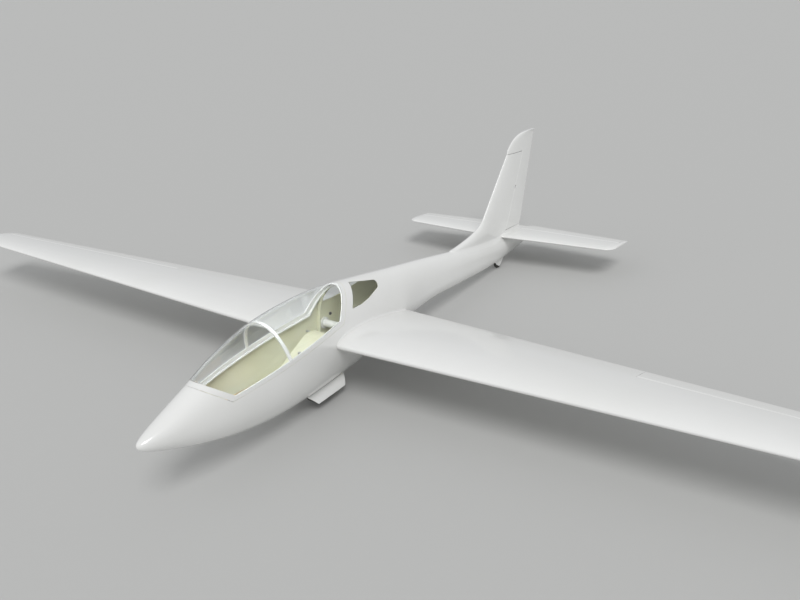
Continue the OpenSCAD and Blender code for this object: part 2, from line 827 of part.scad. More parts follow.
module shell_cuts() {
  hollow();
  canopy_space(gap / 2);
  both_sides()
    window_space(0, window_in);
  well_cut();
  rudder_cove();
  rudder_pivot(-rudder_drop - 4, 4, tube_d + 3);
  rudder_bracket(seat);
  y_bar(tube, joiner_d + 2 * tube_wall + 2 * seat, -past_y, past_y);
  for (x = root_pin_x)
    y_bar([x, root_pin_z(x)], root_pin_d + 2 * seat, -past_y, past_y);
  for (x = tail_joiner_x)
    y_bar([x, tail_z], tail_joiner_d + 2 * seat, -60, 60);
  y_bar([elevator_x, tail_z], torque_d + 3, -60, 60);
  elevator_chamber();
  tail_well();
  translate([tow_x, 0, tow_low - 20])
    cylinder(d = tow_d + 2 * seat, h = 40);
}

// Room for the elevator's lever under its tube
module elevator_chamber() {
  translate([elevator_x - 22, elevator_link_y - 2, tail_z - arm_r - 8])
    cube([44, 10, arm_r + 12]);
}

// Outline of one half of the wheel well from above, drawn in by g along X and by h along Y
function half_well(g, h) = [[well_x[0] - g, well_y - h], [well_mid[0] - g, h], [well_mid[1] + g, h],
  [well_x[1] + g, well_y - h]];

module below(outline) {
  translate([0, 0, -200])
    linear_extrude(140)
      polygon(outline);
}

module well_cut() {
  h = half_well(0, 0);
  below([h[0], h[1], [h[0][0], -well_y], [h[3][0], -well_y], h[2], h[3]]);
}

module tail_well() {
  half = tail_w / 2 + 2.4 + seat;
  translate([tail_c[0] - 31, -half, tail_c[1] - 30])
    cube([67, 2 * half, 54]);
}

module fuselage_shell() {
  color(white) place() skin() difference() {
    shell_solid();
    shell_cuts();
  }
}

// Flange inside the cockpit opening, under the canopy frame
module cockpit_sill() {
  color(white) place() skin() intersection() {
    difference() {
      hollow(wall + seat);
      hollow(wall + seat + sill_w);
    }
    difference() {
      canopy_space(gap / 2 + sill_t);
      canopy_space(gap / 2);
    }
  }
}

// A plate across the hollow at distance s
module bulkhead(s) {
  translate([-s - former_t, 0, 0])
    rotate([90, 0, 90])
      linear_extrude(former_t)
        polygon(section(s + former_t / 2, wall + 2 * seat + 0.3));
}

nose_former_s = 196;
main_former_s = 664;
former_rim = 11;

module nose_former() {
  color(ply) place() difference() {
    bulkhead(nose_former_s);
    canopy_space(sill_t + 2 * seat);
    translate([0, 0, -55])
      x_bar(24, -nose_former_s - 20, -nose_former_s + 20);
  }
}

// Open frame behind the cockpit
module main_former() {
  color(fibre) place() difference() {
    bulkhead(main_former_s);
    canopy_space(sill_t + 2 * seat);
    translate([-main_former_s - 2 * former_t, 0, 0])
      rotate([90, 0, 90])
        linear_extrude(3 * former_t)
          polygon(section(main_former_s + former_t / 2, wall + former_rim));
  }
}

// Plates in the tail: behind the elevator servo, behind the rudder servo and at the end of the cone
elevator_former_s = -elevator_x - elevator_link[0] - servo[0] / 2 - servo_off - former_t;
rudder_servo_front = hinge_x(rudder_link_z) + (rudder_rod + small_servo[0] / 2 + servo_off) * rudder_k[2]
  + spindle_len * rudder_k[0];
rudder_former_s = -rudder_servo_front - former_t - seat;

module tail_formers() {
  color(ply) place() {
    bulkhead(elevator_former_s);
    difference() {
      bulkhead(rudder_former_s);
      translate([0, elevator_link_y + arm_t + eye_gap + eye_t / 2, rod_height(rudder_former_s)])
        x_bar(12, -rudder_former_s - 20, -rudder_former_s + 20);
    }
    bulkhead(fuselage_end - 2 * former_t - seat);
  }
}

// Height of the elevator's pushrod at distance s
function rod_height(s) = tail_z - arm_r + elevator_link[1] * (-elevator_x - s) / elevator_link[0];

// Rounded cover over the retracted wheel, open below
gear_reach = norm(main_c - gear_pivot);
gear_up = gear_pivot[1] + (gear_pivot[0] - main_c[0]) * sin(gear_swing)
  + (main_c[1] - gear_pivot[1]) * cos(gear_swing);
hump_r = main_d / 2 + 10;
hump_c = [gear_pivot[0] - gear_reach - main_d / 2 - 3 + hump_r, gear_up - 1];

function hump(r, g) = concat(
  [[gear_pivot[0] + 20 + g, -140], [gear_pivot[0] + 20 + g, gear_pivot[1] + 16 + g]],
  [for (a = [55:10:165]) hump_c + r * [cos(a), sin(a)]], [[hump_c[0] - r, -140]]);

module wheel_box() {
  color(fibre) place() skin() intersection() {
    hollow(wall + seat);
    difference() {
      side_prism(hump(hump_r + 2, 2), -box_in - 2, box_in + 2);
      side_prism(hump(hump_r, 0), -box_in, box_in);
    }
  }
}

tray_z = -66;
tray = [225, 96, 3];

module equipment_tray() {
  color(ply) place()
    translate([-nose_former_s - former_t - tray[0], -tray[1] / 2, tray_z])
      cube(tray);
}

module receiver() {
  color(dark) place()
    translate([-320, -15, tray_z + tray[2]])
      cube([52, 30, 15]);
}

battery_size = [48, 44, 36];

module battery() {
  color([0.2, 0.35, 0.6]) place()
    translate([-nose_former_s + 0.1, -battery_size[1] / 2, -78])
      cube(battery_size);
}

module wing_tube() {
  color(white) place() difference() {
    union() {
      y_bar(tube, joiner_d + 2 * tube_wall, -tube_half, tube_half);
      for (y = [-1, 1])
        y_bar(tube, joiner_d + 16, y * collar_y - collar_w / 2, y * collar_y + collar_w / 2);
    }
    y_bar(tube, joiner_d + 2 * run, -100, 100);
  }
}

tube_half = 66;
collar_w = 4;
collar_y = at(-tube[0], 1) - wall - collar_w / 2 - 3;

module joiner_rod() {
  color(dark) place()
    y_bar(tube, joiner_d, -joiner_len / 2, joiner_len / 2);
}

module root_pins() {
  color(steel) place()
    both_sides()
      for (x = root_pin_x)
        y_bar([x, root_pin_z(x)], root_pin_d, root_te_y - 12, root_le_y + root_pin_len / 2);
}

module tail_joiners() {
  color(dark) place()
    for (x = tail_joiner_x)
      y_bar([x, tail_z], tail_joiner_d, -tail_joiner_len / 2, tail_joiner_len / 2);
}

// Side prism of the quarter window, drawn in by g, outward from half breadth y
module window_space(g, y) {
  translate([0, past_y, 0])
    rotate([90, 0, 0])
      linear_extrude(past_y - y)
        hull()
          for (c = window_corners)
            translate([c[0], c[1]])
              circle(r = c[2] - g, $fn = 24);
}

window_s = [-window_corners[0][0] - patch_past, -window_corners[2][0] + patch_past];

module quarter_window() {
  skin()
    intersection() {
      difference() {
        body(0, window_s[0], window_s[1], patch_n);
        body(glass_t, window_s[0] - 1, window_s[1] + 1, patch_n);
      }
      window_space(gap, window_in + gap);
    }
}

// Tow release: a stepped tube in the belly of the nose with a cross pin that slides back
tow_x = -85;
tow_d = 10;
tow_len = 36;
tow_low = at(-tow_x, 3) + 1.2;
tow_pin_d = 3;
tow_pin_up = 30;
tow_pin_len = 24;
tow_depth = 24;

module tow_release() {
  color(steel) place()
    translate([tow_x, 0, tow_low])
      difference() {
        cylinder(d = tow_d, h = tow_len);
        translate([0, 0, -1])
          cylinder(d = tow_bore, h = tow_depth + 1);
        cylinder(d = tow_bore - 2, h = tow_len - 2);
        translate([0, 0, tow_pin_up])
          x_bar(tow_pin_d + 2 * run, -tow_d, tow_d);
      }
}

module tow_pin() {
  color(steel) place()
    translate([tow_x, 0, tow_low + tow_pin_up]) {
      x_bar(tow_pin_d, tow_d / 2 - tow_pin_len, tow_d / 2);
      x_bar(tow_pin_d + 4, tow_d / 2 - tow_pin_len, tow_d / 2 - tow_pin_len + 3);
    }
}

tow_servo_size = [28, 14, 34];

module tow_servo() {
  color(dark) place()
    translate([tow_x - 31 - tow_servo_size[0], -tow_servo_size[1] / 2, at(-tow_x + 31, 3) + wall + 4 * seat])
      cube(tow_servo_size);
}

// Retractable main wheel
module gear_frame() {
  color(ply) place()
    both_sides()
      difference() {
        side_prism([for (a = [0:30:330]) gear_pivot + 15 * [cos(a), sin(a)]], box_in - 4, box_in);
        y_bar(gear_pivot, gear_shaft_d + 2 * run, box_in - 10, box_in + 10);
      }
}

arm_y = 18;
arm_w = 3.5;
arm_h = 10;

module gear_leg() {
  color(steel) place() {
    drop = atan2(main_c[1] - gear_pivot[1], main_c[0] - gear_pivot[0]);
    difference() {
      union() {
        y_bar(gear_pivot, gear_shaft_d, -box_in + 0.4, box_in - 0.4);
        y_bar(gear_pivot, gear_shaft_d + 6, -arm_y - arm_w, arm_y + arm_w);
        both_sides() {
          y_bar(main_c, main_axle_d + 8, arm_y, arm_y + arm_w);
          translate([gear_pivot[0], arm_y + 0.3, gear_pivot[1]])
            rotate([0, -drop, 0])
              translate([0, 0, -arm_h / 2])
                cube([gear_reach - main_axle_d / 2 - 1, arm_w - 0.6, arm_h]);
        }
      }
      y_bar(main_c, main_axle_d, -40, 40);
    }
  }
}

module main_axle() {
  color(steel) place()
    y_bar(main_c, main_axle_d, -arm_y - arm_w - 1, arm_y + arm_w + 1);
}

module retract_drive() {
  color(dark) place()
    translate([gear_pivot[0] + gear_shaft_d / 2 + 3.6, -14, gear_pivot[1] - 13])
      cube([12, 28, 26]);
}

hub_r = main_d / 2 - 22;

module main_hub() {
  color(white) place()
    translate([main_c[0], 0, main_c[1]])
      rotate([90, 0, 0])
        rotate_extrude()
          polygon([[main_axle_d / 2 + run, -arm_y + 0.5], [8, -arm_y + 0.5], [8, -6], [hub_r - 5, -4],
            [hub_r - 3, -13], [hub_r, -13], [hub_r, 13], [hub_r - 3, 13], [hub_r - 5, 4], [8, 6],
            [8, arm_y - 0.5], [main_axle_d / 2 + run, arm_y - 0.5]]);
}

// Tyre section: straight bead, round tread
module tyre_ring(inner, outer, w) {
  crown = min(w / 2, (outer - inner) * 0.8);
  rotate([90, 0, 0])
    rotate_extrude()
      polygon(concat([[inner, -w / 2 + 3], [inner, w / 2 - 3]],
        [for (a = [90:-15:-90]) [outer - crown + crown * cos(a), w / 2 * sin(a)]]));
}

module main_tyre() {
  color(dark) place()
    translate([main_c[0], 0, main_c[1]])
      tyre_ring(hub_r, main_d / 2, main_w);
}

// Gear doors: a patch of the belly swung open about its outer edge
door_axis_y = well_y + seat;
door_drop = 0.5;
door_front = [well_x[0], belly(-well_x[0], well_y) - door_drop];
door_rear = [well_x[1], belly(-well_x[1], well_y) - door_drop];
door_s = [-well_x[0] - patch_past / 2, -well_x[1] + patch_past / 2];
door_dir = [door_rear[0] - door_front[0], 0, door_rear[1] - door_front[1]] / norm(door_rear - door_front);

module gear_door() {
  skin()
    translate([door_front[0], door_axis_y, door_front[1]])
      rotate(a = -door_open, v = door_dir)
        translate([-door_front[0], -door_axis_y, -door_front[1]])
          intersection() {
            difference() {
              body(0, door_s[0], door_s[1], patch_n);
              body(door_t, door_s[0] - 1, door_s[1] + 1, patch_n);
            }
            below(half_well(3 * gap, gap));
          }
}

// Tail wheel in a small fairing
module tail_wheel_fairing() {
  color(white) place() {
    difference() {
      both_sides()
        side_prism(concat([[tail_c[0] + 34, -24], [tail_c[0] + 20, tail_c[1] - 3]],
          [for (a = [-40:-20:-140]) tail_c + 12 * [cos(a), sin(a)]],
          [[tail_c[0] - 30, -22]]), tail_w / 2 + 1, tail_w / 2 + 2.4);
      y_bar(tail_c, tail_axle_d + 2 * run, -20, 20);
    }
  }
}

module tail_wheel() {
  color(dark) place() {
    translate([tail_c[0], 0, tail_c[1]])
      tyre_ring(tail_axle_d / 2, tail_d / 2, tail_w);
    y_bar(tail_c, tail_axle_d, -tail_w / 2 - 2.4, tail_w / 2 + 2.4);
  }
}

// Canopy: frame band round the edge, glass inside it, hoop across
canopy_s = [-canopy_front[0] - patch_past, -canopy_top[0] + patch_past];

module canopy_skin(d0, d1) {
  difference() {
    body(d0, canopy_s[0], canopy_s[1], canopy_n);
    body(d1, canopy_s[0] - 1, canopy_s[1] + 1, canopy_n);
  }
}

module hoop_space(w) {
  side = [hoop_high[1] - hoop_low[1], hoop_low[0] - hoop_high[0]] / norm(hoop_high - hoop_low) * w / 2;
  run_up = (hoop_high - hoop_low) * 0.6;
  a = hoop_low - run_up;
  b = hoop_high + run_up;
  side_prism([a + side, b + side, b - side, a - side], -past_y, past_y);
}

module canopy_frame() {
  color(white) place() skin() intersection() {
    canopy_space(-gap / 2);
    union() {
      difference() {
        canopy_skin(0, frame_t);
        canopy_space(-frame_band);
      }
      intersection() {
        canopy_skin(glass_t + seat, frame_t);
        hoop_space(hoop_w);
      }
    }
  }
}

module canopy_glass() {
  color([0.85, 0.9, 0.92, 0.35]) place() skin() intersection() {
    canopy_space(-frame_band - seat);
    canopy_skin(0, glass_t);
  }
}

// Canopy hinge on the right sill
canopy_tilt = atan2(canopy_rear[1] - canopy_corner[1], canopy_corner[0] - canopy_rear[0]);
canopy_hinge_y = -80.4;
canopy_hinge_x = [-340, -520];
knuckle = 8;
knuckle_d = 6;

function sill_z(x) = ahead([canopy_corner[1], canopy_corner[0]], [canopy_rear[1], canopy_rear[0]], x);

// Frame at a hinge: local X along the sill, to the front
module at_canopy_hinge(x) {
  translate([x, canopy_hinge_y, sill_z(x)])
    rotate([0, canopy_tilt, 0])
      children();
}

module x_bar(d, x0, x1) {
  translate([x0, 0, 0])
    rotate([0, 90, 0])
      cylinder(d = d, h = x1 - x0);
}

module canopy_hinges() {
  color(steel) place()
    for (x = canopy_hinge_x)
      at_canopy_hinge(x) {
        x_bar(canopy_pin_d, -knuckle * 1.5, knuckle * 1.5);
        for (s = [-1, 1])
          translate([s * knuckle, 0, 0]) {
            x_bar(knuckle_d, -knuckle / 2 + 0.3, knuckle / 2 - 0.3);
            translate([-knuckle / 2 + 0.3, 0, -8])
              cube([knuckle - 0.6, 3, 8]);
          }
      }
}

module canopy_hinge_arms() {
  color(steel) place()
    for (x = canopy_hinge_x)
      at_canopy_hinge(x)
        difference() {
          union() {
            x_bar(knuckle_d, -knuckle / 2 + 0.3, knuckle / 2 - 0.3);
            translate([-knuckle / 2 + 0.3, 0, 0.6])
              cube([knuckle - 0.6, 3.6, 2.4]);
          }
          x_bar(canopy_pin_d + 2 * run, -knuckle, knuckle);
        }
}

// Latch: a bolt on the left of the frame that slides back along the sill
latch_x = -450;
latch_y = 69.5;
latch_up = 6;

module canopy_latch() {
  color(steel) place()
    translate([latch_x, latch_y, sill_z(latch_x) + latch_up])
      rotate([0, canopy_tilt, 0]) {
        x_bar(4, -18, 18);
        translate([-3, -9, -2])
          cube([6, 8, 4]);
      }
}

module aileron_servos() {
  color(dark) place()
    both_sides()
      on_aileron()
        on_arm()
          servo_body(flat_servo);
}

module servo_covers() {
  color(white) place()
    both_sides()
      on_aileron()
        on_arm()
          difference() {
            translate([servo_off - cover[0] / 2, cover_edge - cover[1], cover_z])
              cube(cover);
            translate([-16, -0.8, cover_z - 1])
              cube([30, 8, 4]);
            at_cover_holes()
              translate([0, 0, -1])
                cylinder(d = 3.2, h = 4);
          }
}

screw_head = 1.1;

// Four screws near the corners of the cover
module at_cover_holes() {
  for (x = [-1, 1], y = [cover_edge - cover[1] + 4, cover_edge - 4])
    translate([servo_off + x * (cover[0] / 2 - 4), y, cover_z])
      children();
}

module cover_screws() {
  color(steel) place()
    both_sides()
      on_aileron()
        on_arm()
          at_cover_holes() {
            translate([0, 0, -screw_head - 0.1])
              cylinder(d = 5, h = screw_head);
            translate([0, 0, -screw_head])
              cylinder(d = 2.6, h = 8);
          }
}

module aileron_arm() {
  on_aileron()
    on_arm()
      lever(spindle_d + 2 * run);
}

module aileron_rod() {
  on_aileron()
    pushrod(link_p);
}

module wing_left() { color(white) place() wing_panel(); }
module wing_right() { color(white) place() right_side() wing_panel(); }
module stabilizer_left() { color(white) place() tail_panel(); }
module stabilizer_right() { color(white) place() right_side() tail_panel(); }
module rear_window_left() { color([0.85, 0.9, 0.92, 0.35]) place() quarter_window(); }
module rear_window_right() { color([0.85, 0.9, 0.92, 0.35]) place() right_side() quarter_window(); }
module aileron_left() { color(white) place() aileron_panel(); }
module aileron_right() { color(white) place() right_side() aileron_panel(); }
module aileron_left_fittings() { color(steel) place() aileron_fittings(); }
module aileron_right_fittings() { color(steel) place() right_side() aileron_fittings(); }
module aileron_left_servo_arm() { color(white) place() aileron_arm(); }
module aileron_right_servo_arm() { color(white) place() right_side() aileron_arm(); }
module aileron_left_pushrod() { color(steel) place() aileron_rod(); }
module aileron_right_pushrod() { color(steel) place() right_side() aileron_rod(); }
module elevator_left() { color(white) place() elevator_panel(); }
module elevator_right() { color(white) place() right_side() elevator_panel(); }
module gear_door_left() { color(white) place() gear_door(); }
module gear_door_right() { color(white) place() right_side() gear_door(); }

fuselage_shell();
cockpit_sill();
nose_former();
main_former();
tail_formers();
wheel_box();
equipment_tray();
wing_tube();
joiner_rod();
rear_window_left();
rear_window_right();
battery();
receiver();
tow_release();
tow_servo();
gear_frame();
retract_drive();
rudder_servo();
elevator_servo();
tail_wheel_fairing();
wing_left();
wing_right();
root_pins();
stabilizer_left();
stabilizer_right();
tail_joiners();
aileron_servos();
servo_covers();
cover_screws();
hinge_pins();
canopy_hinges();
aileron_left();
aileron_left_fittings();
aileron_left_servo_arm();
aileron_left_pushrod();
aileron_right();
aileron_right_fittings();
aileron_right_servo_arm();
aileron_right_pushrod();
elevator_left();
elevator_right();
elevator_torque_tube();
elevator_pushrod();
elevator_servo_arm();
rudder();
rudder_torque_tube();
rudder_pushrod();
rudder_servo_arm();
canopy_frame();
canopy_glass();
canopy_hinge_arms();
canopy_latch();
main_tyre();
main_hub();
main_axle();
gear_leg();
gear_door_left();
gear_door_right();
tail_wheel();
tow_pin();
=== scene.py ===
import math

import bmesh
import bpy
import numpy as np
from mathutils import Matrix, Vector


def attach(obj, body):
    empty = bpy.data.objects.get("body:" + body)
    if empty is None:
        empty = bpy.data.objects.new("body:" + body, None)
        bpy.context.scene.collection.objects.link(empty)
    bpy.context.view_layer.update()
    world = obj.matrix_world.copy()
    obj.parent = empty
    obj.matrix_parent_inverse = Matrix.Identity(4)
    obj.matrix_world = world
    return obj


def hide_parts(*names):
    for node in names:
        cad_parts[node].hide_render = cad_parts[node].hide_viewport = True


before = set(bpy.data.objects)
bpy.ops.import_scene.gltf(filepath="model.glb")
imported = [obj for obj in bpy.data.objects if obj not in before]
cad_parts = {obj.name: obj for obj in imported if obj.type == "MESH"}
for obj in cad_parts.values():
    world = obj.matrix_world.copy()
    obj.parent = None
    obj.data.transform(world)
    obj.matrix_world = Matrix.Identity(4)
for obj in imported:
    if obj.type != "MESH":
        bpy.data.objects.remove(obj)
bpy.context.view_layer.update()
scene = bpy.context.scene

# Sizes of the level model in millimetres: X forward from the nose tip, Y left,
# Z up from the wing's leading edge
MM = 0.001
WALL = 2.0
NOSE_BLOCK = 44.0
FORMER_T = 4.0
SEAT = 0.3
GAP = 0.6
# Fuselage frames: distance from the nose, half width, top, bottom, height of the widest point
FRAMES = np.array([
    [0, 1, -42, -44, -43], [25, 20, -23, -63, -41], [80, 37, 1, -82, -38], [160, 53, 38, -105, -34],
    [260, 69, 86, -125, -22], [380, 79, 123, -136, -8], [500, 79, 140, -132, -5], [620, 70, 145, -122, -3],
    [760, 60, 134, -104, -2], [920, 49, 118, -68, 3], [1100, 41, 101, -38, 10], [1300, 35, 80, -35, 10],
    [1500, 29, 65, -32, 10], [1650, 23, 58, -19, 16], [1768, 14, 50, -4, 23]], float)
TAIL_END = FRAMES[-1, 0]
SECTION_POWER = 2.15
WIDTH, TOP, BOTTOM, MIDDLE = 1, 2, 3, 4

# Cockpit opening in side view (x, z), canopy and windows
CANOPY_FRONT = (-158.0, 37.0)
CANOPY_CORNER = (-223.0, -10.0)
CANOPY_REAR = (-625.0, 50.0)
CANOPY_TOP = (-682.0, 138.0)
FRAME_BAND = 11.0
FRAME_T = 5.0
GLASS_T = 1.2
HOOP_LOW = np.array([-409.0, 20.0])
HOOP_HIGH = np.array([-378.0, 130.0])
HOOP_W = 9.0
SILL_W = 9.0
SILL_T = 3.0
# Corner circles of the rear side windows: x, z, radius
WINDOW_CORNERS = np.array([
    [-680, 79, 3], [-713, 131, 4], [-807, 106, 11], [-755, 84, 3], [-716, 79, 3]], float)
WINDOW_IN = 8.0
# Lengths of skin that the canopy, the windows and the gear doors are cut from
CANOPY_SPAN = (120, 720)
WINDOW_SPAN = (642, 845)
DOOR_SPAN = (484, 676)
PAST_Y = 120.0

# Wings
HALF_SPAN = 1750.0
ROOT_CHORD = 362.0
TIP_CHORD = 145.0
WING_THICK = 0.13
CAMBER = 0.015
DIHEDRAL = math.radians(0.9)
INCIDENCE = math.radians(1.5)
WING_LE = -581.0
WING_SWEEP = 0.018
ROOT_LE_Y = 75.0
ROOT_TE_Y = 54.0
TE_T = 1.0
AILERON_IN = 800.0
AILERON_OUT = 1695.0
AILERON_SHARE = 0.24
AILERON_END_GAP = 1.2
# Round of the wing tip: inset, share of the chord taken in front and behind, share of the thickness
TIP_STEPS = np.array([[0, 0.4, 0.22, 0.2], [2, 0.3, 0.13, 0.45], [9, 0.15, 0.05, 0.75],
                      [22, 0.05, 0.01, 0.95], [40, 0, 0, 1]])
TUBE = (-690.0, 8.0)
TUBE_HOLE = 22.6

# Tailplane
TAIL_Z = 62.0
TAIL_LE = -1589.0
TAIL_TE = -1797.0
TAIL_LE_SLOPE = 0.0813
TAIL_TE_SLOPE = 0.0715
TAIL_ROOT_Y = 31.0
HALF_TAIL = 415.0
TAIL_THICK = 0.1
# Round of the tailplane's tip: inset, share of the chord taken in front, share of the thickness
TAIL_TIP_STEPS = np.array([[0, 0.24, 0.35], [1.5, 0.19, 0.55], [8, 0.08, 0.86], [24, 0, 1]])
ELEVATOR_X = -1715.0
ELEVATOR_END = 12.0
CONE_END = -1766.0

# Fin and rudder
FIN_TOP = 347.0
HORN_GAP = 2.0
RUDDER_LOW = 78.0
RUDDER_BEVEL = np.array([-1751.0, 76.0])
HINGE_LOW = (-1655.0, 127.0)
HINGE_SLOPE = 0.446
TE_LOW = np.array([-1766.0, 116.0])
TE_SLOPE = 0.2625
FIN_LE = (-1483.0, 153.0)
FIN_LE_SLOPE = 0.808
# How far the fin's foot sweeps forward: even and growing part
FIN_SWEEP = (55, 166)
RUDDER_TOP = 417.0
FIN_FOOT = 85.0
FIN_LOW_T = 27.0
FIN_TOP_T = 12.0
RUDDER_GAP = 1.0
RUDDER_HINGE_Z = 225.0
NOTCH = 10.0
NOTCH_BACK = 4.7
# Front edge of the rudder's horn balance: height, distance behind the tailplane's leading edge
HORN_FRONT = np.array([[FIN_TOP, 51], [361, 57], [375, 70], [387, 86], [397, 103], [405, 124], [411, 147],
                       [415, 181], [RUDDER_TOP, 249]])

# Wheels and gear
MAIN_C = np.array([-580.0, -127.0])
MAIN_D = 90.0
MAIN_W = 32.0
TAIL_C = np.array([-1590.0, -35.0])
TAIL_D = 40.0
TAIL_W = 12.0
TAIL_AXLE_D = 4.0
TAIL_HUB = (21.0, 7.0)
TAIL_BOSS = (9.0, 13.0)
TAIL_BEAD_R = 10.0
FAIRING_T = 2.4
# Opening for the tail wheel: lowest and highest corner, from the wheel's centre
TAIL_WELL = ((-31, -30), (36, 24))
HUB_R = 23.0
GEAR_PIVOT = np.array([-487.0, -62.0])
GEAR_SWING = math.radians(48)
# Wheel opening: ends at its sides, ends along its middle, half breadth
WELL_X = (-503.0, -657.0)
WELL_MID = (-527.0, -640.0)
WELL_Y = 31.0
DOOR_OPEN = math.radians(105)
DOOR_T = 1.6
DOOR_DROP = 0.5
BOX_IN = 27.0
BOX_T = 2.0
# Room inside the wheel box
BOX_LOW = -140.0
HUMP_ROOM = 10.0
PIVOT_ROOM = (20.0, 16.0)
TOW_X = -85.0
TOW_D = 10.6

# How the model stands on its wheels: nose-up turn, lift and shift to the middle
wheel_base = np.linalg.norm(TAIL_C - MAIN_C)
stance = (math.atan2(TAIL_C[1] - MAIN_C[1], MAIN_C[0] - TAIL_C[0])
          + math.asin((MAIN_D - TAIL_D) / 2 / wheel_base))
lift = MAIN_D / 2 - MAIN_C[0] * math.sin(stance) - MAIN_C[1] * math.cos(stance)
rear_tip = (TE_LOW[0] - (RUDDER_TOP - TE_LOW[1]) * TE_SLOPE, RUDDER_TOP)
mid_x = (rear_tip[0] * math.cos(stance) - (rear_tip[1] + FRAMES[0, BOTTOM]) * math.sin(stance)) / 2


def place(points):
    """Level points in millimetres to the model standing on its wheels, in metres."""
    p = np.asarray(points, float).reshape(-1, 3)
    c, s = math.cos(stance), math.sin(stance)
    return np.stack([p[:, 0] * c - p[:, 2] * s - mid_x, p[:, 1], p[:, 0] * s + p[:, 2] * c + lift], 1) * MM


def level(points):
    """The way back from the standing model to level millimetres."""
    p = np.asarray(points, float).reshape(-1, 3) / MM + np.array([mid_x, 0, -lift])
    c, s = math.cos(stance), math.sin(stance)
    return np.stack([p[:, 0] * c + p[:, 2] * s, p[:, 1], -p[:, 0] * s + p[:, 2] * c], 1)


# Mesh helpers
def stand(name, data):
    """Puts a mesh, a lamp or a camera into the scene."""
    obj = bpy.data.objects.new(name, data)
    scene.collection.objects.link(obj)
    return obj


def face_out(mesh):
    """Turns every face of a closed mesh outwards."""
    bm = bmesh.new()
    bm.from_mesh(mesh)
    bmesh.ops.recalc_face_normals(bm, faces=bm.faces)
    bm.to_mesh(mesh)
    bm.free()


def solid(name, points, faces):
    """A closed mesh of level points."""
    mesh = bpy.data.meshes.new(name)
    mesh.from_pydata([tuple(p) for p in place(points)], [], faces)
    face_out(mesh)
    return stand(name, mesh)


def full_turn(n):
    """Angles once round, in n steps."""
    return np.linspace(0, 2 * math.pi, n, endpoint=False)


def loft(name, rings):
    """A closed solid through rings of as many points each."""
    rings = np.asarray(rings, float)
    m, n = rings.shape[:2]
    faces = [(j * n + i, (j + 1) * n + i, (j + 1) * n + (i + 1) % n, j * n + (i + 1) % n)
             for j in range(m - 1) for i in range(n)]
    faces += [tuple(range(n)), tuple(range((m - 1) * n, m * n))]
    return solid(name, rings.reshape(-1, 3), faces)


def side_prism(name, outline, y0, y1):
    """A side-view outline of (x, z) points made solid from y0 to y1."""
    return loft(name, [[(x, y, z) for x, z in outline] for y in (y0, y1)])


def plan_prism(name, outline, z0, z1):
    """A plan outline of (x, y) points made solid from z0 to z1."""
    return loft(name, [[(x, y, z) for x, y in outline] for z in (z0, z1)])


def corners(low, high):
    """Side-view corners of a box from its lowest to its highest point."""
    return [(low[0], low[2]), (high[0], low[2]), (high[0], high[2]), (low[0], high[2])]


def block(name, low, high):
    return side_prism(name, corners(low, high), low[1], high[1])


def circle(centre, d, sides):
    return [(centre[0] + d / 2 * math.cos(a), centre[1] + d / 2 * math.sin(a)) for a in full_turn(sides)]


def y_bar(name, centre, d, y0, y1):
    """A round bar along Y."""
    return side_prism(name, circle(centre, d, 48), y0, y1)


def settle(obj):
    """Turns the modifiers of a piece into its plain mesh."""
    depsgraph = bpy.context.evaluated_depsgraph_get()
    mesh = bpy.data.meshes.new_from_object(obj.evaluated_get(depsgraph))
    obj.modifiers.clear()
    old = obj.data
    obj.data = mesh
    bpy.data.meshes.remove(old)


def combine(obj, operation, *tools):
    """Unites, cuts or intersects a piece with tool solids, which are used up."""
    for tool in tools:
        step = obj.modifiers.new(tool.name, "BOOLEAN")
        step.operation = operation
        step.solver = "MANIFOLD"
        step.object = tool
    settle(obj)
    for tool in tools:
        bpy.data.meshes.remove(tool.data)
    return obj


def cut(obj, *tools):
    return combine(obj, "DIFFERENCE", *tools)


def mirrored(obj, name):
    """A copy of a piece on the other side of the model."""
    mesh = obj.data.copy()
    mesh.transform(Matrix.Diagonal((1, -1, 1, 1)))
    mesh.flip_normals()
    return stand(name, mesh)


def smooth(obj, angle=32):
    """Smooth shading with crisp edges where faces meet at more than the angle."""
    obj.data.shade_smooth()
    obj.data.set_sharp_from_angle(angle=math.radians(angle))
    return obj


def dress(obj, body, slot, material, *nodes):
    """Gives a finished piece its body, material and the nodes that it stands for; its slot is not used."""
    obj.data.materials.clear()
    obj.data.materials.append(material)
    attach(obj, body)
    if nodes:
        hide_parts(*nodes)
    return obj


FIXED = ("airframe", "airframe")


def dress_pair(left, right_name, bodies, slot, material, *nodes):
    """Dresses a left piece and its mirrored twin, each with its own body and node."""
    twin = mirrored(left, right_name)
    for side, obj in enumerate((left, twin)):
        dress(smooth(obj), bodies[side], slot, material, *nodes[side:side + 1])


# Fuselage form
# Frames are joined by curves over the root of the distance, which rounds the nose
root_s = np.sqrt(FRAMES[:, 0])
before = np.maximum(np.arange(len(FRAMES)) - 1, 0)
after = np.minimum(np.arange(len(FRAMES)) + 1, len(FRAMES) - 1)
slopes = (FRAMES[after] - FRAMES[before]) / (root_s[after] - root_s[before])[:, None]


def frame_value(s, column):
    """Smooth value of a frame column at distance s from the nose."""
    s = np.asarray(s, float)
    i = np.clip(np.searchsorted(FRAMES[:, 0], s) - 1, 0, len(FRAMES) - 2)
    h = root_s[i + 1] - root_s[i]
    t = (np.sqrt(s) - root_s[i]) / h
    return (FRAMES[i, column] * (2 * t ** 3 - 3 * t ** 2 + 1)
            + h * slopes[i, column] * (t ** 3 - 2 * t ** 2 + t)
            + FRAMES[i + 1, column] * (3 * t ** 2 - 2 * t ** 3)
            + h * slopes[i + 1, column] * (t ** 3 - t ** 2))


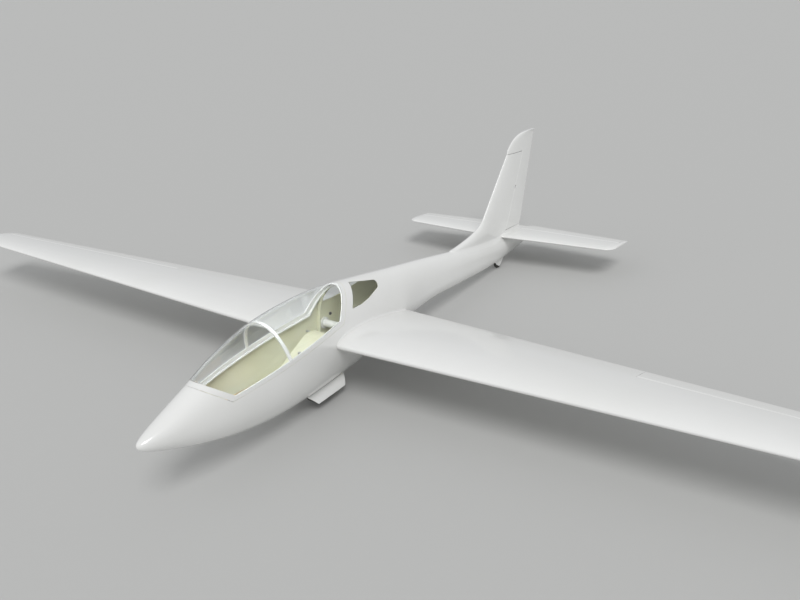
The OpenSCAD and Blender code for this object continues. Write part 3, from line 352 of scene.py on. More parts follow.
def section(s, inset, around):
    """Section points (y, z) of the fuselage at distance s, set in from the skin."""
    middle = frame_value(s, MIDDLE)
    wide = max(frame_value(s, WIDTH) - inset, 0.5)
    up = max(frame_value(s, TOP) - inset - middle, 0.5)
    down = max(middle - frame_value(s, BOTTOM) - inset, 0.5)
    turn = full_turn(around)

    def rounded(v):
        return np.sign(v) * np.abs(v) ** (2 / SECTION_POWER)
    rise = rounded(np.sin(turn))
    return np.stack([wide * rounded(np.cos(turn)), middle + np.where(rise >= 0, up, down) * rise], 1)


def hull(name, inset=0.0, s0=0.0, s1=TAIL_END, stations=170, around=112):
    """The fuselage's form from s0 to s1, set in from the skin."""
    power = 1.0 if s0 > 0 else 1.5
    places = s0 + (s1 - s0) * (np.arange(stations + 1) / stations) ** power
    return loft(name, [[(-s, y, z) for y, z in section(s, inset, around)] for s in places])


def hollow(name, inset=WALL):
    """The room inside the shell, behind the nose block."""
    return hull(name, inset, NOSE_BLOCK, TAIL_END - FORMER_T, 140)


def skin_patch(name, outer, inner, s0, s1, stations=90):
    """A curved sheet of the fuselage's skin between two depths."""
    return cut(hull(name, outer, s0, s1, stations), hull(name + ".inner", inner, s0 - 1, s1 + 1, stations))


def half_width(s, z):
    """Half breadth of the fuselage at distance s and height z."""
    middle = frame_value(s, MIDDLE)
    reach = np.where(z >= middle, frame_value(s, TOP) - middle, middle - frame_value(s, BOTTOM))
    share = np.clip(1 - np.abs((z - middle) / reach) ** SECTION_POWER, 0, 1)
    return frame_value(s, WIDTH) * share ** (1 / SECTION_POWER)


def skin_height(s, y, edge):
    """Height of the fuselage's upper (TOP) or lower (BOTTOM) side at distance s and half breadth y."""
    share = 1 - np.clip(y / frame_value(s, WIDTH), 0, 0.98) ** SECTION_POWER
    middle = frame_value(s, MIDDLE)
    return middle + (frame_value(s, edge) - middle) * share ** (1 / SECTION_POWER)


def on_line(a, b, z):
    return a[0] + (b[0] - a[0]) * (z - a[1]) / (b[1] - a[1])


def canopy_outline(grow):
    """Side view of the cockpit opening, grown outwards, open well above the canopy."""
    high = 220.0
    return [(on_line(CANOPY_CORNER, CANOPY_FRONT, high) + grow, high),
            (CANOPY_CORNER[0] + grow, CANOPY_CORNER[1] - grow),
            (CANOPY_REAR[0] - grow, CANOPY_REAR[1] - grow),
            (on_line(CANOPY_REAR, CANOPY_TOP, high) - grow, high)]


def canopy_space(name, grow):
    return side_prism(name, canopy_outline(grow), -PAST_Y, PAST_Y)


def window_space(name, inset, y):
    """The rounded outline of the left rear window, drawn in by the inset, from y outwards."""
    turn = full_turn(120)
    way = np.stack([np.cos(turn), np.sin(turn)], 1)
    reach = WINDOW_CORNERS[:, :2] @ way.T + WINDOW_CORNERS[:, 2:]
    corner = WINDOW_CORNERS[np.argmax(reach, 0)]
    return side_prism(name, corner[:, :2] + (corner[:, 2:] - inset) * way, y, PAST_Y)


def half_well(end, side):
    """Outline (x, y) of the left half of the wheel opening, drawn in at its ends and sides."""
    return [(WELL_X[0] - end, WELL_Y - side), (WELL_MID[0] - end, side), (WELL_MID[1] + end, side),
            (WELL_X[1] + end, WELL_Y - side)]


def below(name, outline):
    """An outline of (x, y) points through the belly."""
    return plan_prism(name, outline, -200, -60)


# Wing and tail sections
def half_thick(u, t):
    """Half thickness of a section at share u of its chord."""
    return 5 * t * (0.2969 * np.sqrt(u) - 0.126 * u - 0.3516 * u ** 2 + 0.2843 * u ** 3 - 0.1036 * u ** 4)


def arch(u, m):
    """Height of a section's middle line at share u of its chord."""
    return np.where(u < 0.4, m / 0.16 * (0.8 * u - u ** 2), m / 0.36 * (0.2 + 0.8 * u - u ** 2))


def shares(n=44):
    """Shares of the chord from back to front, closer at both ends."""
    return (1 + np.cos(np.linspace(0, math.pi, n + 1))) / 2


def foil_side(u, c, t, m, way):
    """Points (back, up) of a section's upper (way 1) or lower (way -1) side."""
    return np.stack([u * c, (arch(u, m) + way * half_thick(u, t)) * c + way * TE_T / 2 * u], 1)


def foil(c, t, m):
    """Section points (back, up): upper side back to front, then lower side."""
    u = shares()
    return np.concatenate([foil_side(u, c, t, m, 1), foil_side(u, c, t, m, -1)[-2::-1]])


def wing_chord(y):
    return ROOT_CHORD + (TIP_CHORD - ROOT_CHORD) * y / HALF_SPAN


def wing_point(y, p):
    """Level point of the wing at half breadth y from section points (back, up)."""
    p = np.asarray(p, float).reshape(-1, 2)
    y = np.broadcast_to(y, len(p))
    return np.stack([WING_LE - WING_SWEEP * y - p[:, 0], y,
                     y * math.tan(DIHEDRAL) - p[:, 0] * math.tan(INCIDENCE) + p[:, 1]], 1)


def wing_ring(y):
    """Wing section at half breadth y."""
    return wing_point(y, foil(wing_chord(y), WING_THICK, CAMBER))


def tip_ring(inset, front, rear, thin):
    """Wing section near the tip, shorter in front and behind, and thinner."""
    y = HALF_SPAN - inset
    c = wing_chord(y)
    p = foil(c * (1 - front - rear), WING_THICK * thin, CAMBER * thin)
    return wing_point(y, p + np.array([front * c, 0]))


ROOT_SLOPE = (ROOT_LE_Y - ROOT_TE_Y) / (ROOT_CHORD - 6)


def root_y(x):
    """Half breadth of the wing root plane at x."""
    return ROOT_LE_Y + ROOT_SLOPE * (x - WING_LE)


def root_side(name, grow, reach):
    """Everything outboard of the wing root plane."""
    past = 60
    x0, x1 = WING_LE + past, WING_LE - ROOT_CHORD - past
    outline = [(x0, root_y(x0) + grow), (x1, root_y(x1) + grow), (x1, reach), (x0, reach)]
    return plan_prism(name, outline, -100, 150)


hinge_u = 1 - AILERON_SHARE


def hinge_r(y):
    """Radius of the aileron's round nose."""
    return half_thick(hinge_u, WING_THICK) * wing_chord(y) + TE_T / 2 * hinge_u


def aileron_axis(y):
    c = wing_chord(y)
    return wing_point(y, [(hinge_u * c, arch(hinge_u, CAMBER) * c)])[0]


aileron_dir = aileron_axis(AILERON_OUT) - aileron_axis(AILERON_IN)
aileron_dir /= np.linalg.norm(aileron_dir)


# Angle up to which a fixed surface reaches round the nose of a hinged one
LIP = 60


def nose_arc(limit):
    return np.radians(np.linspace(limit, -limit, 29))


def aileron_ring(y):
    """Aileron section: a round nose about the hinge, then both sides to the trailing edge."""
    c, o, r = wing_chord(y), aileron_axis(y), hinge_r(y)
    a = nose_arc(90)
    nose = o + np.stack([r * np.cos(a), 0 * a, r * np.sin(a)], 1)
    u = hinge_u + AILERON_SHARE * np.arange(1, 9) / 8
    upper, lower = (wing_point(y, foil_side(u, c, WING_THICK, CAMBER, way)) for way in (1, -1))
    return np.concatenate([nose, lower, upper[::-1]])


def cove_ring(o, r, back=120, high=40):
    """Outline of the space that a hinged surface turns in, around the axis point o."""
    a = nose_arc(LIP)
    edge = r * math.cos(math.radians(LIP))
    arc = o + np.stack([r * np.cos(a), 0 * a, r * np.sin(a)], 1)
    return np.concatenate([[o + (-back, 0, high), o + (edge, 0, high)], arc,
                           [o + (edge, 0, -high), o + (-back, 0, -high)]])


def on_axis(points, o, k, up=(0, 0, 1)):
    """Local points to level ones: local X forward across an axis, Y along it."""
    k = np.asarray(k, float)
    n = np.asarray(up, float) - np.dot(up, k) * k
    n /= np.linalg.norm(n)
    return np.asarray(points, float) @ np.array([np.cross(k, n), k, n]) + o


def axis_block(name, low, high, o, k, up=(0, 0, 1)):
    """A box in an axis frame."""
    ends = [[(x, y, z) for x, z in corners(low, high)] for y in (low[1], high[1])]
    return loft(name, [on_axis(end, o, k, up) for end in ends])


# Fin, rudder and tailplane sections
def hinge_x(z):
    return HINGE_LOW[0] - HINGE_SLOPE * (z - HINGE_LOW[1])


def te_x(z):
    return TE_LOW[0] - TE_SLOPE * (z - TE_LOW[1])


def fin_front(z):
    """The fin's leading edge, which sweeps forward below the foot of its straight part."""
    k = (FIN_LE[1] - z) / (FIN_LE[1] - FIN_FOOT)
    swept = FIN_SWEEP[0] * k + FIN_SWEEP[1] * k ** 3
    return FIN_LE[0] + np.where(k <= 0, FIN_LE_SLOPE * (FIN_LE[1] - z), swept)


def fin_thick(z):
    return FIN_LOW_T + (FIN_TOP_T - FIN_LOW_T) * (z - FIN_FOOT) / (RUDDER_TOP - FIN_FOOT)


def fin_half(u, z):
    return half_thick(u, 1) * fin_thick(z) + TE_T / 2 * u


FILLET = 9.0


def both_sides(ring):
    """A left half outline, from back to front, with its right half."""
    return np.concatenate([ring, (ring * (1, -1, 1))[-2::-1]])


def fin_ring(rise, flat):
    """Fin section at a rise over the skin, level towards the top, with a fillet at its foot."""
    u = shares()
    above = min(max(rise, 0), FILLET)
    flare = FILLET - math.sqrt(FILLET ** 2 - (FILLET - above) ** 2)
    z = np.full(len(u), FIN_FOOT)
    for _ in range(8):
        front, rear = fin_front(np.maximum(z, FIN_FOOT)), te_x(z)
        x = front - u * (front - rear)
        half = fin_half(u, z) + flare * np.sqrt(np.clip(u / 0.04, 0, 1))
        foot = skin_height(np.clip(-x, 0, TAIL_END), half, TOP) + rise
        z = foot * (1 - flat) + FIN_TOP * flat
    return both_sides(np.stack([x, half, z], 1))


def flat_foil(front, rear, z):
    u = shares()
    return both_sides(np.stack([front - u * (front - rear), fin_half(u, z), 0 * u + z], 1))


def rudder_r(z):
    front, rear = fin_front(z), te_x(z)
    return fin_half((front - hinge_x(z)) / (front - rear), z)


def rudder_ring(z):
    """Level rudder section with a round nose about its hinge."""
    h, r, front = hinge_x(z), rudder_r(z), fin_front(z)
    c = front - te_x(z)
    u0 = (front - h) / c
    a = nose_arc(90)
    nose = np.stack([h + r * np.cos(a), r * np.sin(a), 0 * a + z], 1)
    u = u0 + (1 - u0) * np.arange(1, 13) / 12
    side = np.stack([front - u * c, -fin_half(u, z), 0 * u + z], 1)
    return np.concatenate([nose, side, (side * (1, -1, 1))[::-1]])


def rudder_cove(name):
    """The space that the rudder turns in, open to the back."""
    back, wide = 200, 60
    rings = []
    for z in np.linspace(FIN_TOP + 10, RUDDER_LOW - HORN_GAP, 24):
        h, r, a = hinge_x(z), rudder_r(z) + RUDDER_GAP, nose_arc(LIP)
        edge = h + r * math.cos(a[0])
        arc = [(h + r * math.cos(b), r * math.sin(b), z) for b in a]
        rings.append([(h - back, wide, z), (edge, wide, z), *arc, (edge, -wide, z), (h - back, -wide, z)])
    return loft(name, rings)


def tail_front(y):
    return TAIL_LE - TAIL_LE_SLOPE * y


def tail_chord(y):
    return tail_front(y) - TAIL_TE - TAIL_TE_SLOPE * y


def tail_ring(y, taken=0.0, thin=1.0):
    c = tail_chord(y)
    p = foil(c * (1 - taken), TAIL_THICK * thin, 0)
    return np.stack([tail_front(y) - taken * c - p[:, 0], 0 * p[:, 0] + y, TAIL_Z + p[:, 1]], 1)


def tail_half(u, y):
    return half_thick(u, TAIL_THICK) * tail_chord(y) + TE_T / 2


def elevator_u(y):
    return (tail_front(y) - ELEVATOR_X) / tail_chord(y)


def elevator_r(y):
    return tail_half(elevator_u(y), y)


def elevator_ring(y):
    """Elevator section with a round nose about its hinge."""
    r, u0 = elevator_r(y), elevator_u(y)
    a = nose_arc(90)
    nose = np.stack([ELEVATOR_X + r * np.cos(a), 0 * a + y, TAIL_Z + r * np.sin(a)], 1)
    u = u0 + (1 - u0) * np.arange(1, 11) / 10
    side = np.stack([tail_front(y) - u * tail_chord(y), 0 * u + y, TAIL_Z - tail_half(u, y)], 1)
    top = side * (1, 1, -1) + (0, 0, 2 * TAIL_Z)
    return np.concatenate([nose, side, top[::-1]])


def smooth_through(points, n):
    """A smooth curve through given points."""
    p = np.vstack([2 * points[0] - points[1], points, 2 * points[-1] - points[-2]])
    t = np.linspace(0, len(points) - 1, n)
    i = np.minimum(t.astype(int), len(points) - 2)
    f = (t - i)[:, None]
    a, b, c, d = p[i], p[i + 1], p[i + 2], p[i + 3]
    return b + 0.5 * f * (c - a + f * (2 * a - 5 * b + 4 * c - d + f * (3 * (b - c) + d - a)))


# Materials
def new_material(name):
    material = bpy.data.materials.new(name)
    material.use_nodes = True
    tree = material.node_tree
    return material, tree.nodes, tree.links, tree.nodes["Principled BSDF"]


def new_group(name, inputs, outputs):
    """An empty shader node group with named sockets."""
    group = bpy.data.node_groups.new(name, "ShaderNodeTree")
    for socket, kind, value in inputs:
        group.interface.new_socket(socket, in_out="INPUT", socket_type=kind).default_value = value
    for socket, kind in outputs:
        group.interface.new_socket(socket, in_out="OUTPUT", socket_type=kind)
    return group, group.nodes.new("NodeGroupInput"), group.nodes.new("NodeGroupOutput")


COLOR, FLOAT = "NodeSocketColor", "NodeSocketFloat"


def mottle_group():
    """Slow and fine variation of colour, roughness and height, for handled surfaces."""
    group, given, result = new_group(
        "handled_surface",
        [("Clean", COLOR, (0.8, 0.8, 0.8, 1)), ("Dusty", COLOR, (0.7, 0.7, 0.7, 1)), ("Scale", FLOAT, 12.0),
         ("Fine Scale", FLOAT, 300.0), ("Roughness Low", FLOAT, 0.2), ("Roughness High", FLOAT, 0.4)],
        [("Color", COLOR), ("Roughness", FLOAT), ("Height", FLOAT)])
    nodes, links = group.nodes, group.links
    place_at = nodes.new("ShaderNodeTexCoord")
    slow = nodes.new("ShaderNodeTexNoise")
    slow.inputs["Detail"].default_value = 5
    fine = nodes.new("ShaderNodeTexNoise")
    fine.inputs["Detail"].default_value = 3
    links.new(place_at.outputs["Object"], slow.inputs["Vector"])
    links.new(place_at.outputs["Object"], fine.inputs["Vector"])
    links.new(given.outputs["Scale"], slow.inputs["Scale"])
    links.new(given.outputs["Fine Scale"], fine.inputs["Scale"])
    spread = nodes.new("ShaderNodeMapRange")
    spread.inputs["From Min"].default_value = 0.35
    spread.inputs["From Max"].default_value = 0.7
    links.new(slow.outputs["Fac"], spread.inputs["Value"])
    tint = nodes.new("ShaderNodeMix")
    tint.data_type = "RGBA"
    links.new(spread.outputs["Result"], tint.inputs["Factor"])
    links.new(given.outputs["Clean"], tint.inputs["A"])
    links.new(given.outputs["Dusty"], tint.inputs["B"])
    rough = nodes.new("ShaderNodeMapRange")
    links.new(spread.outputs["Result"], rough.inputs["Value"])
    links.new(given.outputs["Roughness Low"], rough.inputs["To Min"])
    links.new(given.outputs["Roughness High"], rough.inputs["To Max"])
    links.new(tint.outputs["Result"], result.inputs["Color"])
    links.new(rough.outputs["Result"], result.inputs["Roughness"])
    links.new(fine.outputs["Fac"], result.inputs["Height"])
    return group


def weave_group():
    """Crossing bundles of a woven cloth: a colour mask and a height."""
    group, given, result = new_group(
        "woven_cloth", [("Pitch Scale", FLOAT, 60.0)], [("Mask", FLOAT), ("Height", FLOAT)])
    nodes, links = group.nodes, group.links
    place_at = nodes.new("ShaderNodeTexCoord")
    parts = []
    for direction in ("X", "Z"):
        wave = nodes.new("ShaderNodeTexWave")
        wave.bands_direction = direction
        wave.inputs["Distortion"].default_value = 0.6
        wave.inputs["Detail"].default_value = 1
        links.new(place_at.outputs["Object"], wave.inputs["Vector"])
        links.new(given.outputs["Pitch Scale"], wave.inputs["Scale"])
        parts.append(wave)
    both = nodes.new("ShaderNodeMath")
    both.operation = "MULTIPLY"
    links.new(parts[0].outputs["Fac"], both.inputs[0])
    links.new(parts[1].outputs["Fac"], both.inputs[1])
    links.new(both.outputs["Value"], result.inputs["Mask"])
    links.new(both.outputs["Value"], result.inputs["Height"])
    return group


handled_surface = mottle_group()
woven_cloth = weave_group()


def add_surface(name, clean, dusty, scale, fine, rough, bump, depth):
    """A material whose shader takes colour, roughness and relief from the handled surface group."""
    material, nodes, links, shader = new_material(name)
    surface = nodes.new("ShaderNodeGroup")
    surface.node_tree = handled_surface
    for socket, value in (("Clean", (*clean, 1)), ("Dusty", (*dusty, 1)), ("Scale", scale),
                          ("Fine Scale", fine), ("Roughness Low", rough[0]), ("Roughness High", rough[1])):
        surface.inputs[socket].default_value = value
    relief = nodes.new("ShaderNodeBump")
    relief.inputs["Strength"].default_value = bump
    relief.inputs["Distance"].default_value = depth
    links.new(surface.outputs["Color"], shader.inputs["Base Color"])
    links.new(surface.outputs["Roughness"], shader.inputs["Roughness"])
    links.new(surface.outputs["Height"], relief.inputs["Height"])
    links.new(relief.outputs["Normal"], shader.inputs["Normal"])
    return material, surface, relief, shader


def add_cloth(material, relief, pitch):
    """Places the woven cloth group in a material as its relief."""
    cloth = material.node_tree.nodes.new("ShaderNodeGroup")
    cloth.node_tree = woven_cloth
    cloth.inputs["Pitch Scale"].default_value = pitch
    material.node_tree.links.new(cloth.outputs["Height"], relief.inputs["Height"])
    return cloth


def add_shade(material, surface, shader, mask, colour):
    """Darkens a material's colour where a mask is high."""
    links = material.node_tree.links
    shade = material.node_tree.nodes.new("ShaderNodeMix")
    shade.data_type = "RGBA"
    shade.blend_type = "MULTIPLY"
    shade.inputs["B"].default_value = (*colour, 1)
    links.new(mask, shade.inputs["Factor"])
    links.new(surface.outputs["Color"], shade.inputs["A"])
    links.new(shade.outputs["Result"], shader.inputs["Base Color"])


def white_gelcoat():
    material, surface, relief, shader = add_surface(
        "white_gelcoat", (0.86, 0.86, 0.845), (0.83, 0.83, 0.81), 5.0, 90.0, (0.16, 0.26), 0.03, 0.0006)
    shader.inputs["Coat Weight"].default_value = 0.6
    shader.inputs["Coat Roughness"].default_value = 0.06
    return material


def raw_fibre():
    material, surface, relief, shader = add_surface(
        "raw_fibre", (0.79, 0.79, 0.63), (0.72, 0.71, 0.52), 9.0, 200.0, (0.35, 0.55), 0.25, 0.0006)
    cloth = add_cloth(material, relief, 130.0)
    add_shade(material, surface, shader, cloth.outputs["Mask"], (0.93, 0.93, 0.87))
    return material


def carbon_rod():
    material, surface, relief, shader = add_surface(
        "carbon_rod", (0.03, 0.03, 0.032), (0.06, 0.06, 0.06), 60.0, 400.0, (0.25, 0.4), 0.2, 0.0003)
    add_cloth(material, relief, 90.0)
    return material


def plywood():
    material, surface, relief, shader = add_surface(
        "plywood", (0.74, 0.62, 0.42), (0.6, 0.47, 0.29), 14.0, 260.0, (0.5, 0.7), 0.15, 0.0005)
    nodes, links = material.node_tree.nodes, material.node_tree.links
    place_at = nodes.new("ShaderNodeTexCoord")
    stretch = nodes.new("ShaderNodeMapping")
    stretch.inputs["Scale"].default_value = (3, 40, 40)
    grain = nodes.new("ShaderNodeTexNoise")
    grain.inputs["Scale"].default_value = 8
    grain.inputs["Detail"].default_value = 6
    links.new(place_at.outputs["Object"], stretch.inputs["Vector"])
    links.new(stretch.outputs["Vector"], grain.inputs["Vector"])
    links.new(grain.outputs["Fac"], relief.inputs["Height"])
    add_shade(material, surface, shader, grain.outputs["Fac"], (0.78, 0.66, 0.5))
    return material


def satin_steel():
    material, surface, relief, shader = add_surface(
        "satin_steel", (0.62, 0.63, 0.65), (0.5, 0.5, 0.52), 60.0, 900.0, (0.22, 0.38), 0.06, 0.0002)
    shader.inputs["Metallic"].default_value = 1.0
    return material


def canopy_clear():
    """Clear moulded glass that lets the light into the cockpit."""
    material, nodes, links, shader = new_material("canopy_clear")
    tint = (0.97, 0.985, 0.985, 1)
    shader.inputs["Base Color"].default_value = tint
    shader.inputs["Roughness"].default_value = 0.02
    shader.inputs["IOR"].default_value = 1.45
    shader.inputs["Transmission Weight"].default_value = 1.0
    clear = nodes.new("ShaderNodeBsdfTransparent")
    clear.inputs["Color"].default_value = tint
    path = nodes.new("ShaderNodeLightPath")
    mix = nodes.new("ShaderNodeMixShader")
    links.new(path.outputs["Is Shadow Ray"], mix.inputs["Fac"])
    links.new(shader.outputs["BSDF"], mix.inputs[1])
    links.new(clear.outputs["BSDF"], mix.inputs[2])
    links.new(mix.outputs["Shader"], nodes["Material Output"].inputs["Surface"])
    return material


gelcoat = white_gelcoat()
satin = add_surface(
    "satin_white", (0.82, 0.82, 0.8), (0.74, 0.74, 0.71), 18.0, 500.0, (0.35, 0.5), 0.08, 0.0004)[0]
fibre = raw_fibre()
carbon = carbon_rod()
ply = plywood()
black = add_surface(
    "dark_plastic", (0.02, 0.02, 0.022), (0.05, 0.05, 0.05), 40.0, 900.0, (0.35, 0.5), 0.15, 0.0003)[0]
wrap = add_surface(
    "shrink_wrap", (0.03, 0.12, 0.4), (0.05, 0.16, 0.46), 30.0, 120.0, (0.15, 0.3), 0.3, 0.001)[0]
steel = satin_steel()
rubber = add_surface(
    "tyre_rubber", (0.025, 0.025, 0.025), (0.075, 0.072, 0.065), 35.0, 700.0, (0.6, 0.85), 0.3, 0.0004)[0]
glass = canopy_clear()


# Geometry node trees
def new_tree(name, sizes):
    """An empty geometry tree with the points it stands on, named sizes and a finish."""
    group = bpy.data.node_groups.new(name, "GeometryNodeTree")
    group.interface.new_socket("Geometry", in_out="INPUT", socket_type="NodeSocketGeometry")
    for label, value in sizes.items():
        group.interface.new_socket(label, in_out="INPUT", socket_type=FLOAT).default_value = value
    group.interface.new_socket("Finish", in_out="INPUT", socket_type="NodeSocketMaterial")
    group.interface.new_socket("Geometry", in_out="OUTPUT", socket_type="NodeSocketGeometry")
    return group, group.nodes.new("NodeGroupInput"), group.nodes.new("NodeGroupOutput")


def join_value(group, value, socket):
    """Feeds a socket with another socket or with a number."""
    if isinstance(value, bpy.types.NodeSocket):
        group.links.new(value, socket)
    else:
        socket.default_value = value


def calc(group, operation, a, b=0.0):
    node = group.nodes.new("ShaderNodeMath")
    node.operation = operation
    join_value(group, a, node.inputs[0])
    join_value(group, b, node.inputs[1])
    return node.outputs["Value"]


def vector(group, x=0.0, y=0.0, z=0.0):
    node = group.nodes.new("ShaderNodeCombineXYZ")
    for value, axis in ((x, "X"), (y, "Y"), (z, "Z")):
        join_value(group, value, node.inputs[axis])
    return node.outputs["Vector"]


def close_tree(group, given, result, shape, turn=None):
    """Sets a shape on every given point, as real meshes in their finish."""
    nodes, links = group.nodes, group.links
    points = nodes.new("GeometryNodeMeshToPoints")
    copies = nodes.new("GeometryNodeInstanceOnPoints")
    real = nodes.new("GeometryNodeRealizeInstances")
    finish = nodes.new("GeometryNodeSetMaterial")
    links.new(given.outputs["Geometry"], points.inputs["Mesh"])
    links.new(points.outputs["Points"], copies.inputs["Points"])
    links.new(shape, copies.inputs["Instance"])
    if turn is not None:
        links.new(turn, copies.inputs["Rotation"])
    links.new(copies.outputs["Instances"], real.inputs["Geometry"])
    links.new(real.outputs["Geometry"], finish.inputs["Geometry"])
    links.new(given.outputs["Finish"], finish.inputs["Material"])
    links.new(finish.outputs["Geometry"], result.inputs["Geometry"])
    return group


def moved(group, mesh, z):
    node = group.nodes.new("GeometryNodeTransform")
    group.links.new(mesh, node.inputs["Geometry"])
    group.links.new(vector(group, z=z), node.inputs["Translation"])
    return node.outputs["Geometry"]


def rod(group, radius, depth, sides=24):
    node = group.nodes.new("GeometryNodeMeshCylinder")
    node.inputs["Vertices"].default_value = sides
    join_value(group, radius, node.inputs["Radius"])
    join_value(group, depth, node.inputs["Depth"])
    return node.outputs["Mesh"]


def screw_tree():
    """Flat headed screws with a cross slot, one on every point, turned along its axis."""
    group, given, result = new_tree("cross_head_screws", {
        "Head Radius": 2.5 * MM, "Head Height": 1.2 * MM, "Slot Length": 3.2 * MM, "Slot Width": 0.7 * MM,
        "Shank Radius": 1.3 * MM, "Shank Length": 6 * MM})
    nodes, links = group.nodes, group.links
    size = given.outputs
    slots = nodes.new("GeometryNodeMeshBoolean")
    slots.operation = "DIFFERENCE"
    links.new(rod(group, size["Head Radius"], size["Head Height"]), slots.inputs["Mesh 1"])
    # The bars that cut the slots stand a little above half the head's height
    high = calc(group, "MULTIPLY", size["Head Height"], 0.6)
    for x, y in (("Slot Length", "Slot Width"), ("Slot Width", "Slot Length")):
        bar = nodes.new("GeometryNodeMeshCube")
        links.new(vector(group, size[x], size[y], size["Head Height"]), bar.inputs["Size"])
        links.new(moved(group, bar.outputs["Mesh"], high), slots.inputs["Mesh 2"])
    drop = calc(group, "MULTIPLY", size["Shank Length"], -0.5)
    shank = moved(group, rod(group, size["Shank Radius"], size["Shank Length"], 12), drop)
    whole = nodes.new("GeometryNodeJoinGeometry")
    links.new(slots.outputs["Mesh"], whole.inputs["Geometry"])
    links.new(shank, whole.inputs["Geometry"])
    way = nodes.new("GeometryNodeInputNamedAttribute")
    way.data_type = "FLOAT_VECTOR"
    way.inputs["Name"].default_value = "axis"
    turn = nodes.new("FunctionNodeAlignRotationToVector")
    turn.axis = "Z"
    links.new(way.outputs["Attribute"], turn.inputs["Vector"])
    return close_tree(group, given, result, whole.outputs["Geometry"], turn.outputs["Rotation"])


def tyre_tree():
    """A tyre with grooved tread: a grid wrapped round a full profile and then round the axle."""
    group, given, result = new_tree("grooved_tyre", {
        "Outer Radius": MAIN_D / 2 * MM, "Bead Radius": HUB_R * MM, "Width": MAIN_W * MM,
        "Groove Depth": 0.8 * MM, "Grooves": 3.0})
    nodes, links = group.nodes, group.links
    size = given.outputs
    around, steps, full, tread_edge = 96, 128, 0.85, 0.55

    def times(a, b):
        return calc(group, "MULTIPLY", a, b)

    def filled(v):
        return times(calc(group, "SIGN", v), calc(group, "POWER", calc(group, "ABSOLUTE", v), full))
    grid = nodes.new("GeometryNodeMeshGrid")
    grid.inputs["Vertices X"].default_value = around + 1
    grid.inputs["Vertices Y"].default_value = steps + 1
    index = nodes.new("GeometryNodeInputIndex").outputs["Index"]
    row = calc(group, "FLOOR", calc(group, "DIVIDE", index, steps + 1))
    column = calc(group, "SUBTRACT", index, times(row, steps + 1))
    turn = times(row, 2 * math.pi / around)
    angle = times(column, 2 * math.pi / steps)
    across = filled(calc(group, "SINE", angle))
    up = filled(calc(group, "COSINE", angle))
    phase = times(times(across, math.pi), size["Grooves"])
    ripple = calc(group, "MAXIMUM", calc(group, "COSINE", phase), 0.0)
    tread = calc(group, "GREATER_THAN", up, tread_edge)
    groove = times(times(ripple, tread), size["Groove Depth"])
    middle = times(calc(group, "ADD", size["Outer Radius"], size["Bead Radius"]), 0.5)
    tall = times(calc(group, "SUBTRACT", size["Outer Radius"], size["Bead Radius"]), 0.5)
    radius = calc(group, "SUBTRACT", calc(group, "ADD", middle, times(tall, up)), groove)
    wrap_round = nodes.new("GeometryNodeSetPosition")
    links.new(grid.outputs["Mesh"], wrap_round.inputs["Geometry"])
    out = times(times(size["Width"], 0.5), across)
    links.new(vector(group, times(radius, calc(group, "COSINE", turn)), out,
                     times(radius, calc(group, "SINE", turn))), wrap_round.inputs["Position"])
    weld = nodes.new("GeometryNodeMergeByDistance")
    weld.inputs["Distance"].default_value = 1e-5
    links.new(wrap_round.outputs["Geometry"], weld.inputs["Geometry"])
    return close_tree(group, given, result, weld.outputs["Geometry"])


def grow(name, points, tree, sizes, finish, axes=None):
    """Runs a tree on a piece's own points and keeps the result as a plain mesh."""
    mesh = bpy.data.meshes.new(name)
    mesh.from_pydata([tuple(p) for p in place(points)], [], [])
    if axes is not None:
        way = mesh.attributes.new("axis", "FLOAT_VECTOR", "POINT")
        way.data.foreach_set("vector", np.asarray(axes, np.float32).ravel())
    obj = stand(name, mesh)
    step = obj.modifiers.new(tree.name, "NODES")
    step.node_group = tree
    for item in tree.interface.items_tree:
        if item.in_out == "INPUT" and item.name in sizes:
            step[item.identifier] = sizes[item.name]
        if item.in_out == "INPUT" and item.name == "Finish":
            step[item.identifier] = finish
    settle(obj)
    face_out(obj.data)
    return obj


screws = screw_tree()
tyres = tyre_tree()


# Fuselage pieces
def wing_fairing(name):
    """Stub of the wing that swells into the fuselage's side, ending in the root plane."""
    rings = []
    inside = 30.0
    for t in np.concatenate([[0], np.linspace(0.5, 1, 26)]):
        p = foil(ROOT_CHORD, WING_THICK, CAMBER)
        y = np.full(len(p), ROOT_LE_Y)
        for _ in range(3):
            x = wing_point(y, p)[:, 0]
            y = inside + (root_y(x) - inside) * t
        ring = wing_point(y, foil(wing_chord(ROOT_LE_Y), WING_THICK, CAMBER))
        side = half_width(-ring[:, 0], ring[:, 2])
        room = np.maximum(root_y(ring[:, 0]) - side, 0.01)
        out = np.clip(ring[:, 1] - side, 0, room)
        flare = room - np.sqrt(room ** 2 - (room - out) ** 2)
        along = np.gradient(p, axis=0)
        normal = np.stack([along[:, 1], along[:, 0]], 1)
        normal /= np.linalg.norm(normal, axis=1)[:, None]
        ring[:, 0] += flare * normal[:, 0]
        ring[:, 2] -= flare * normal[:, 1]
        rings.append(ring)
    return loft(name, rings)


def tail_fairing(name):
    """Stub of the tailplane through the fuselage, cut off at the tail cone's end."""
    stub = loft(name, [tail_ring(y) for y in np.linspace(-TAIL_ROOT_Y, TAIL_ROOT_Y, 9)])
    return combine(stub, "INTERSECT", block(name + ".keep", (CONE_END, -50, 0), (CONE_END + 200, 50, 100)))


